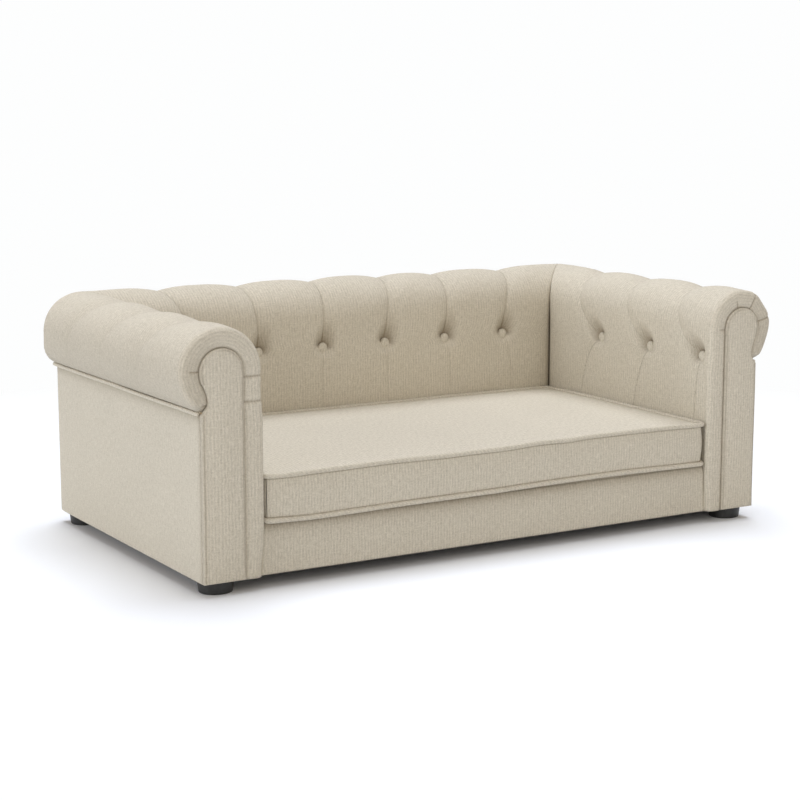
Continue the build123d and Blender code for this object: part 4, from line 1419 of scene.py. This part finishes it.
def waved(x, y, level, waviness):
    """The piping's rise and fall: along the front as in the tables, smoothed, and faint elsewhere."""
    fine = np.linspace(-400.0, 400.0, 801)
    places, shares = (HIGH_XS, HIGH_SHARES) if level == "high" else (LOW_XS, LOW_SHARES)
    kernel = np.hanning(41)
    smooth = np.convolve(np.pad(np.interp(fine, places, shares), 20, "edge"), kernel / kernel.sum(), "valid")
    dip = -waviness * np.interp(x, fine, smooth) * ease(-y, 120.0, 262.0)
    wander = 0.3 * ripple(x, y, 81 if level == "high" else 82, low=120.0, high=400.0)
    droop = -1.5 * ease(-y, 255.0, 266.0) if level == "low" else 0.0
    return dip + wander * (1.0 - ease(-y, 120.0, 262.0)) + droop


def cushion_sides(wide, deep):
    """The cushion's plan as four sides between the middles of its round corners: front, right, rear, left."""
    c = CUSHION
    x, front, rear, r = c["x"], c["front"], c["rear"], c["corner"]
    turn = np.linspace(0.0, math.pi / 4, 9)

    def side(start, end, first, second, count):
        a = np.stack([start[0] + r * np.cos(first + turn), start[1] + r * np.sin(first + turn)], -1)
        b = np.stack([end[0] + r * np.cos(second + turn), end[1] + r * np.sin(second + turn)], -1)
        return resample(np.concatenate([a, b]), np.linspace(0.0, 1.0, count))

    q = math.pi / 4
    corners = ((-x + r, front + r), (x - r, front + r), (x - r, rear - r), (-x + r, rear - r))
    return [
        side(corners[0], corners[1], 5 * q, 6 * q, wide),
        side(corners[1], corners[2], 7 * q, 0.0, deep),
        side(corners[2], corners[3], q, 2 * q, wide),
        side(corners[3], corners[0], 3 * q, 4 * q, deep),
    ]


def cushion_patches(sizes):
    """The cover's three parts on one loop of points: top, bottom and boxing.

    The loop has its own rise and fall. Both panels fill it as Coons patches: the sum of
    what lies between front and rear and between left and right, less what lies between
    the corners. The boxing leans out by 3.2 * sin(pi s)^0.8 mm from 1.6 mm inside, or
    2.6 mm at the sides. A painted shade line runs along the boxing beside each piping, and a
    fainter one on the top panel inside the upper piping.
    """
    wide, deep, levels = 126, 71, 17
    front, right, rear, left = cushion_sides(wide, deep)
    rear, left = rear[::-1], left[::-1]
    waviness = sizes.waviness / MM
    crown = 2.0
    s = np.linspace(0.0, 1.0, wide)[:, None, None]
    t = np.linspace(0.0, 1.0, deep)[None, :, None]

    def panel(level):
        sides = []
        for line in (front, right, rear, left):
            z = CUSHION[level] + waved(line[:, 0], line[:, 1], level, waviness)
            sides.append(np.concatenate([line, z[:, None]], -1))
        f, r, b, l = sides
        across = (1 - t) * f[:, None] + t * b[:, None]
        deepwise = (1 - s) * l[None] + s * r[None]
        corners = (1 - s) * (1 - t) * f[0] + s * (1 - t) * f[-1] + (1 - s) * t * b[0] + s * t * b[-1]
        grid = across + deepwise - corners
        c = CUSHION
        away = np.minimum(
            np.minimum(grid[..., 0] + c["x"], c["x"] - grid[..., 0]),
            np.minimum(grid[..., 1] - c["front"], c["rear"] - grid[..., 1]))
        away = np.clip(away, 0.0, None)
        rise = crown if level == "high" else 0.4
        sign = 1.0 if level == "high" else -1.0
        soft = 0.5 * ripple(grid[..., 0], grid[..., 1], 84, low=90.0, high=300.0) * ease(away, 0.0, 50.0)
        grid[..., 2] += sign * rise * (1.0 - np.exp(-away / 26.0)) + (soft if level == "high" else 0.0)
        return grid, away

    top, top_away = panel("high")
    under, _ = panel("low")
    give_top = np.zeros(top.shape[:2])
    give_top[1:-1, 1:-1] = sizes.swell / MM

    def loop_of(grid):
        return np.concatenate([grid[:, 0], grid[-1, 1:], grid[-2::-1, -1], grid[0, -2::-1]])

    high, low = loop_of(top), loop_of(under)
    along = np.roll(high, -1, 0) - np.roll(high, 1, 0)
    along[0] = along[-1] = high[1] - high[-2]
    outward = np.stack([along[:, 1], -along[:, 0]], -1)
    outward /= np.linalg.norm(outward, axis=1, keepdims=True)
    run = stretch_of(high[:, None], 0)[:, 0]
    share = np.linspace(0.0, 1.0, levels)[None]
    side = ease(np.abs(high[:, 0]), 340.0, 374.0)[:, None]
    lean = 3.2 * np.sin(math.pi * share) ** 0.8 - np.where((share > 0) & (share < 1), 1.6 + side, 0.0)
    lean = lean + 0.3 * ripple(run[:, None], share * 60.0, 83, low=60.0, high=180.0) * np.sin(math.pi * share)
    box = low[:, None] * (1 - share[..., None]) + high[:, None] * share[..., None]
    box[..., :2] += outward[:, None] * lean[..., None]
    rise = box[..., 2] - low[:, None, 2]
    # distance from the boxing's painted shade lines, 3.6 mm from each piping's seam
    gap = np.minimum(rise, high[:, None, 2] - box[..., 2]) - 3.6
    uv = np.stack(np.broadcast_arrays(run[:, None], rise), -1) * MM
    give_box = np.where((share > 0) & (share < 1), 1.2, 0.0)
    # the boxing's painted shade line is 0.75 strong, the top panel's 0.35, 3.9 mm inside its edge
    patches = [
        Patch(box, uv, gap, 0.75, give=give_box),
        Patch(top, top[..., :2] * MM, top_away - 3.9, 0.35, give=give_top),
        Patch(under, under[..., :2] * MM + 1.0),
    ]
    return patches, high[:-1], low[:-1]


CLOTH_FRAMES = 20


def places_of(mesh):
    """The places of a mesh's points, one a row."""
    place = np.empty(len(mesh.vertices) * 3, np.float32)
    mesh.vertices.foreach_get("co", place)
    return place.reshape(-1, 3)


def inflate(piece, pressure):
    """Blows the cover up in a short cloth run with its seams held, and caps how far it goes.

    Each point moves a * (1 - e^(-m / a)) along its own way, m being what the run moved it
    and a its give.
    """
    mesh = piece.data
    place = places_of(mesh)
    give = np.empty(len(place), np.float32)
    mesh.attributes["give"].data.foreach_get("value", give)
    mesh.attributes.remove(mesh.attributes["give"])
    pins = piece.vertex_groups.new(name="pins")
    pins.add(np.flatnonzero(give == 0).tolist(), 1.0, "REPLACE")
    blow = piece.modifiers.new("blow", "CLOTH")
    settings = dict(
        quality=4, mass=0.25, tension_stiffness=12.0, compression_stiffness=12.0, shear_stiffness=4.0,
        bending_stiffness=0.4, vertex_group_mass="pins", use_pressure=True, uniform_pressure_force=pressure)
    for label, value in settings.items():
        setattr(blow.settings, label, value)
    blow.settings.effector_weights.gravity = 0.0
    blow.point_cache.frame_start = 1
    blow.point_cache.frame_end = CLOTH_FRAMES
    scene = bpy.context.scene
    for moment in range(1, CLOTH_FRAMES + 1):
        scene.frame_set(moment)
    shaped = piece.evaluated_get(bpy.context.evaluated_depsgraph_get())
    way = places_of(shaped.data) - place
    scene.frame_set(1)
    piece.modifiers.remove(blow)
    piece.vertex_groups.remove(pins)
    moved = np.linalg.norm(way, axis=1)
    limit = np.maximum(give, 1e-9)
    kept = limit * (1.0 - np.exp(-moved / limit)) / np.maximum(moved, 1e-9)
    place += way * np.where(give > 0, kept, 0.0)[:, None]
    mesh.vertices.foreach_set("co", place.ravel())
    mesh.update()


def sink_pocket(piece):
    """Presses the zip's pocket into the rear boxing, its sides easing in over 4 to 5.5 mm."""
    mesh = piece.data
    place = places_of(mesh)
    x, y, z = (place / MM).T
    inside = 1.0 - ease(np.abs(x), *POCKET["width"])
    inside = inside * (1.0 - ease(np.abs(z - POCKET["z"]), *POCKET["height"]))
    rear = y > CUSHION["rear"] - 10.0
    place[:, 1] = np.where(rear, (y + (np.minimum(y, POCKET["floor"]) - y) * inside) * MM, place[:, 1])
    mesh.vertices.foreach_set("co", place.ravel())
    mesh.update()


class SOFA_OT_cushion(bpy.types.Operator):
    """Makes the loose boxed cushion with its two piped edges"""

    bl_idname = "sofa.cushion"
    bl_label = "Cushion"

    def execute(self, context):
        sizes = context.scene.sofa_cushion
        patches, high, low = cushion_patches(sizes)
        piece = sewn("cushion_pad", patches, ("cushion_cover", "cushion_foam"), body="cushion")
        inflate(piece, sizes.pressure)
        sink_pocket(piece)
        smooth = piece.modifiers.new("smooth", "SUBSURF")
        smooth.levels = smooth.render_levels = 1
        for level, line, seed in (("upper", high, 86), ("lower", low, 87)):
            cord = tube_patches(line, sizes.piping / MM, uneven=0.03, seed=seed)
            sewn(f"cushion_{level}_piping_cord", cord, (f"cushion_{level}_piping",), body="cushion")
        return {"FINISHED"}


# ---------------------------------------------------------------- stage


# The floor's paint for the light and for the camera, and how far out it fades, in metres
FLOOR_PAINTS = ((0.72, 0.74, 0.76, 1.0), (0.93, 0.96, 1.0, 1.0))
FLOOR_FADE = (0.85, 1.5)
FLOOR_REACH = 40.0
# The light from all round, and its strength
SKY = (1.0, 0.905, 0.85), 0.30
# Name, direction of the lamp from the sofa, energy, spread in degrees, colour
LAMPS = (
    ("overhead_lamp", (0.16, 0.22, 0.96), 2.48, 45.0, (0.895, 0.93, 1.0)),
    ("left_lamp", (-0.97, -0.05, 0.15), 1.74, 40.0, (0.96, 0.975, 1.0)),
    ("front_lamp", (-0.10, -0.96, 0.25), 1.04, 80.0, (1.0, 0.915, 0.78)),
)
# The photo's camera, solved from the sofa's edges: its place in metres, how far it turns from
# straight ahead and tips down in degrees, and its focal length in millimetres
CAMERA = dict(place=(-1.4777, -2.4711, 0.6677), turn=30.73, tip=9.48, lens=84.8)


def floor_material(colour):
    """A pale floor that keeps the sofa's shadow, and fades into the backdrop further out.

    The camera sees a whiter paint than the rays that light the sofa do.
    """
    material, tree, shader = start_material("floor")
    output = next(n for n in tree.nodes if n.type == "OUTPUT_MATERIAL")
    shader.inputs["Roughness"].default_value = 0.95
    shader.inputs["Specular IOR Level"].default_value = 0.0
    w = Wiring(tree)
    place = tree.nodes.new("ShaderNodeTexCoord")
    seen = w.seen()
    paint = w.mix(seen, *FLOOR_PAINTS)
    w.link(paint, shader.inputs["Base Color"])
    x, y, _ = w.split(place.outputs["Object"])
    away = w.maths("SQRT", w.total(w.times(x, x), w.times(y, y)))
    fade = w.spread(away, *FLOOR_FADE)
    glow = tree.nodes.new("ShaderNodeEmission")
    glow.inputs["Color"].default_value = (*colour, 1.0)
    blend = tree.nodes.new("ShaderNodeMixShader")
    w.link(w.times(fade, seen), blend.inputs[0])
    w.link(shader.outputs[0], blend.inputs[1])
    w.link(glow.outputs[0], blend.inputs[2])
    w.link(blend.outputs[0], output.inputs[0])
    return material


def studio_world(colour):
    """Soft light from all round, and a plain backdrop for the camera."""
    world = bpy.data.worlds.new("studio")
    world.use_nodes = True
    tree = world.node_tree
    tree.nodes.clear()
    w = Wiring(tree)
    out = tree.nodes.new("ShaderNodeOutputWorld")
    mix = tree.nodes.new("ShaderNodeMixShader")
    w.link(w.seen(), mix.inputs[0])
    for index, (tint, strength) in ((1, SKY), (2, (colour, 1.0))):
        soft = tree.nodes.new("ShaderNodeBackground")
        soft.inputs["Color"].default_value = (*tint, 1.0)
        soft.inputs["Strength"].default_value = strength
        w.link(soft.outputs[0], mix.inputs[index])
    w.link(mix.outputs[0], out.inputs[0])
    return world


class SOFA_OT_stage(bpy.types.Operator):
    """Lays the pale floor, lights it softly and sets the camera"""

    bl_idname = "sofa.stage"
    bl_label = "Stage"

    def execute(self, context):
        scene = context.scene
        colour = tuple(scene.sofa_colours.floor)
        mesh = bpy.data.meshes.new("pale_floor")
        corners = [(x * FLOOR_REACH, y * FLOOR_REACH, 0.0) for x, y in ((-1, -1), (1, -1), (1, 1), (-1, 1))]
        mesh.from_pydata(corners, [], [(0, 1, 2, 3)])
        floor = bpy.data.objects.new("pale_floor", mesh)
        scene.collection.objects.link(floor)
        floor.data.materials.append(floor_material(colour))
        scene.world = studio_world(colour)
        for name, toward, strength, spread, tint in LAMPS:
            light = bpy.data.lights.new(name, "SUN")
            light.energy = strength
            light.angle = math.radians(spread)
            light.color = tint
            lamp = bpy.data.objects.new(name, light)
            lamp.rotation_euler = Vector(toward).to_track_quat("Z", "Y").to_euler()
            scene.collection.objects.link(lamp)

        camera_data = bpy.data.cameras.new("studio_camera")
        camera_data.lens = CAMERA["lens"]
        camera_data.sensor_width = 36.0
        camera_data.clip_end = 100.0
        camera = bpy.data.objects.new("studio_camera", camera_data)
        turn, tip = math.radians(CAMERA["turn"]), math.radians(CAMERA["tip"])
        ahead = Vector((math.sin(turn) * math.cos(tip), math.cos(turn) * math.cos(tip), -math.sin(tip)))
        right = Vector((math.cos(turn), -math.sin(turn), 0.0))
        up = right.cross(ahead)
        camera.matrix_world = Matrix.Translation(CAMERA["place"]) @ Matrix(
            ((right.x, up.x, -ahead.x), (right.y, up.y, -ahead.y), (right.z, up.z, -ahead.z))
        ).to_4x4()
        scene.collection.objects.link(camera)
        scene.camera = camera
        scene.view_settings.view_transform = "Standard"
        return {"FINISHED"}


class SOFA_PT_dressing(bpy.types.Panel):
    """Lists the sofa's sizes, colours and pieces in the 3D view's sidebar"""

    bl_idname = "SOFA_PT_dressing"
    bl_label = "Pet Sofa"
    bl_space_type = "VIEW_3D"
    bl_region_type = "UI"
    bl_category = "Pet Sofa"

    def draw(self, context):
        layout = self.layout
        for group in (context.scene.sofa_padding, context.scene.sofa_cushion, context.scene.sofa_colours):
            box = layout.box()
            for name in group.bl_rna.properties.keys():
                if name not in ("rna_type", "name"):
                    box.prop(group, name)
        for name in ORDER:
            layout.operator(f"sofa.{name}")


ORDER = ("finishes", "arm_padding", "back_padding", "panels", "roll_welt", "buttons", "cushion", "stage")

CLASSES = (
    SofaPadding,
    SofaCushion,
    SofaColours,
    SOFA_OT_finishes,
    SOFA_OT_arm_padding,
    SOFA_OT_back_padding,
    SOFA_OT_panels,
    SOFA_OT_roll_welt,
    SOFA_OT_buttons,
    SOFA_OT_cushion,
    SOFA_OT_stage,
    SOFA_PT_dressing,
)


def register():
    for item in CLASSES:
        bpy.utils.register_class(item)
    bpy.types.Scene.sofa_padding = bpy.props.PointerProperty(type=SofaPadding)
    bpy.types.Scene.sofa_cushion = bpy.props.PointerProperty(type=SofaCushion)
    bpy.types.Scene.sofa_colours = bpy.props.PointerProperty(type=SofaColours)


def unregister():
    del bpy.types.Scene.sofa_colours
    del bpy.types.Scene.sofa_cushion
    del bpy.types.Scene.sofa_padding
    for item in reversed(CLASSES):
        bpy.utils.unregister_class(item)


def main():
    """Makes every piece in order."""
    register()
    for name in ORDER:
        getattr(bpy.ops.sofa, name)()


if __name__ == "__main__":
    main()
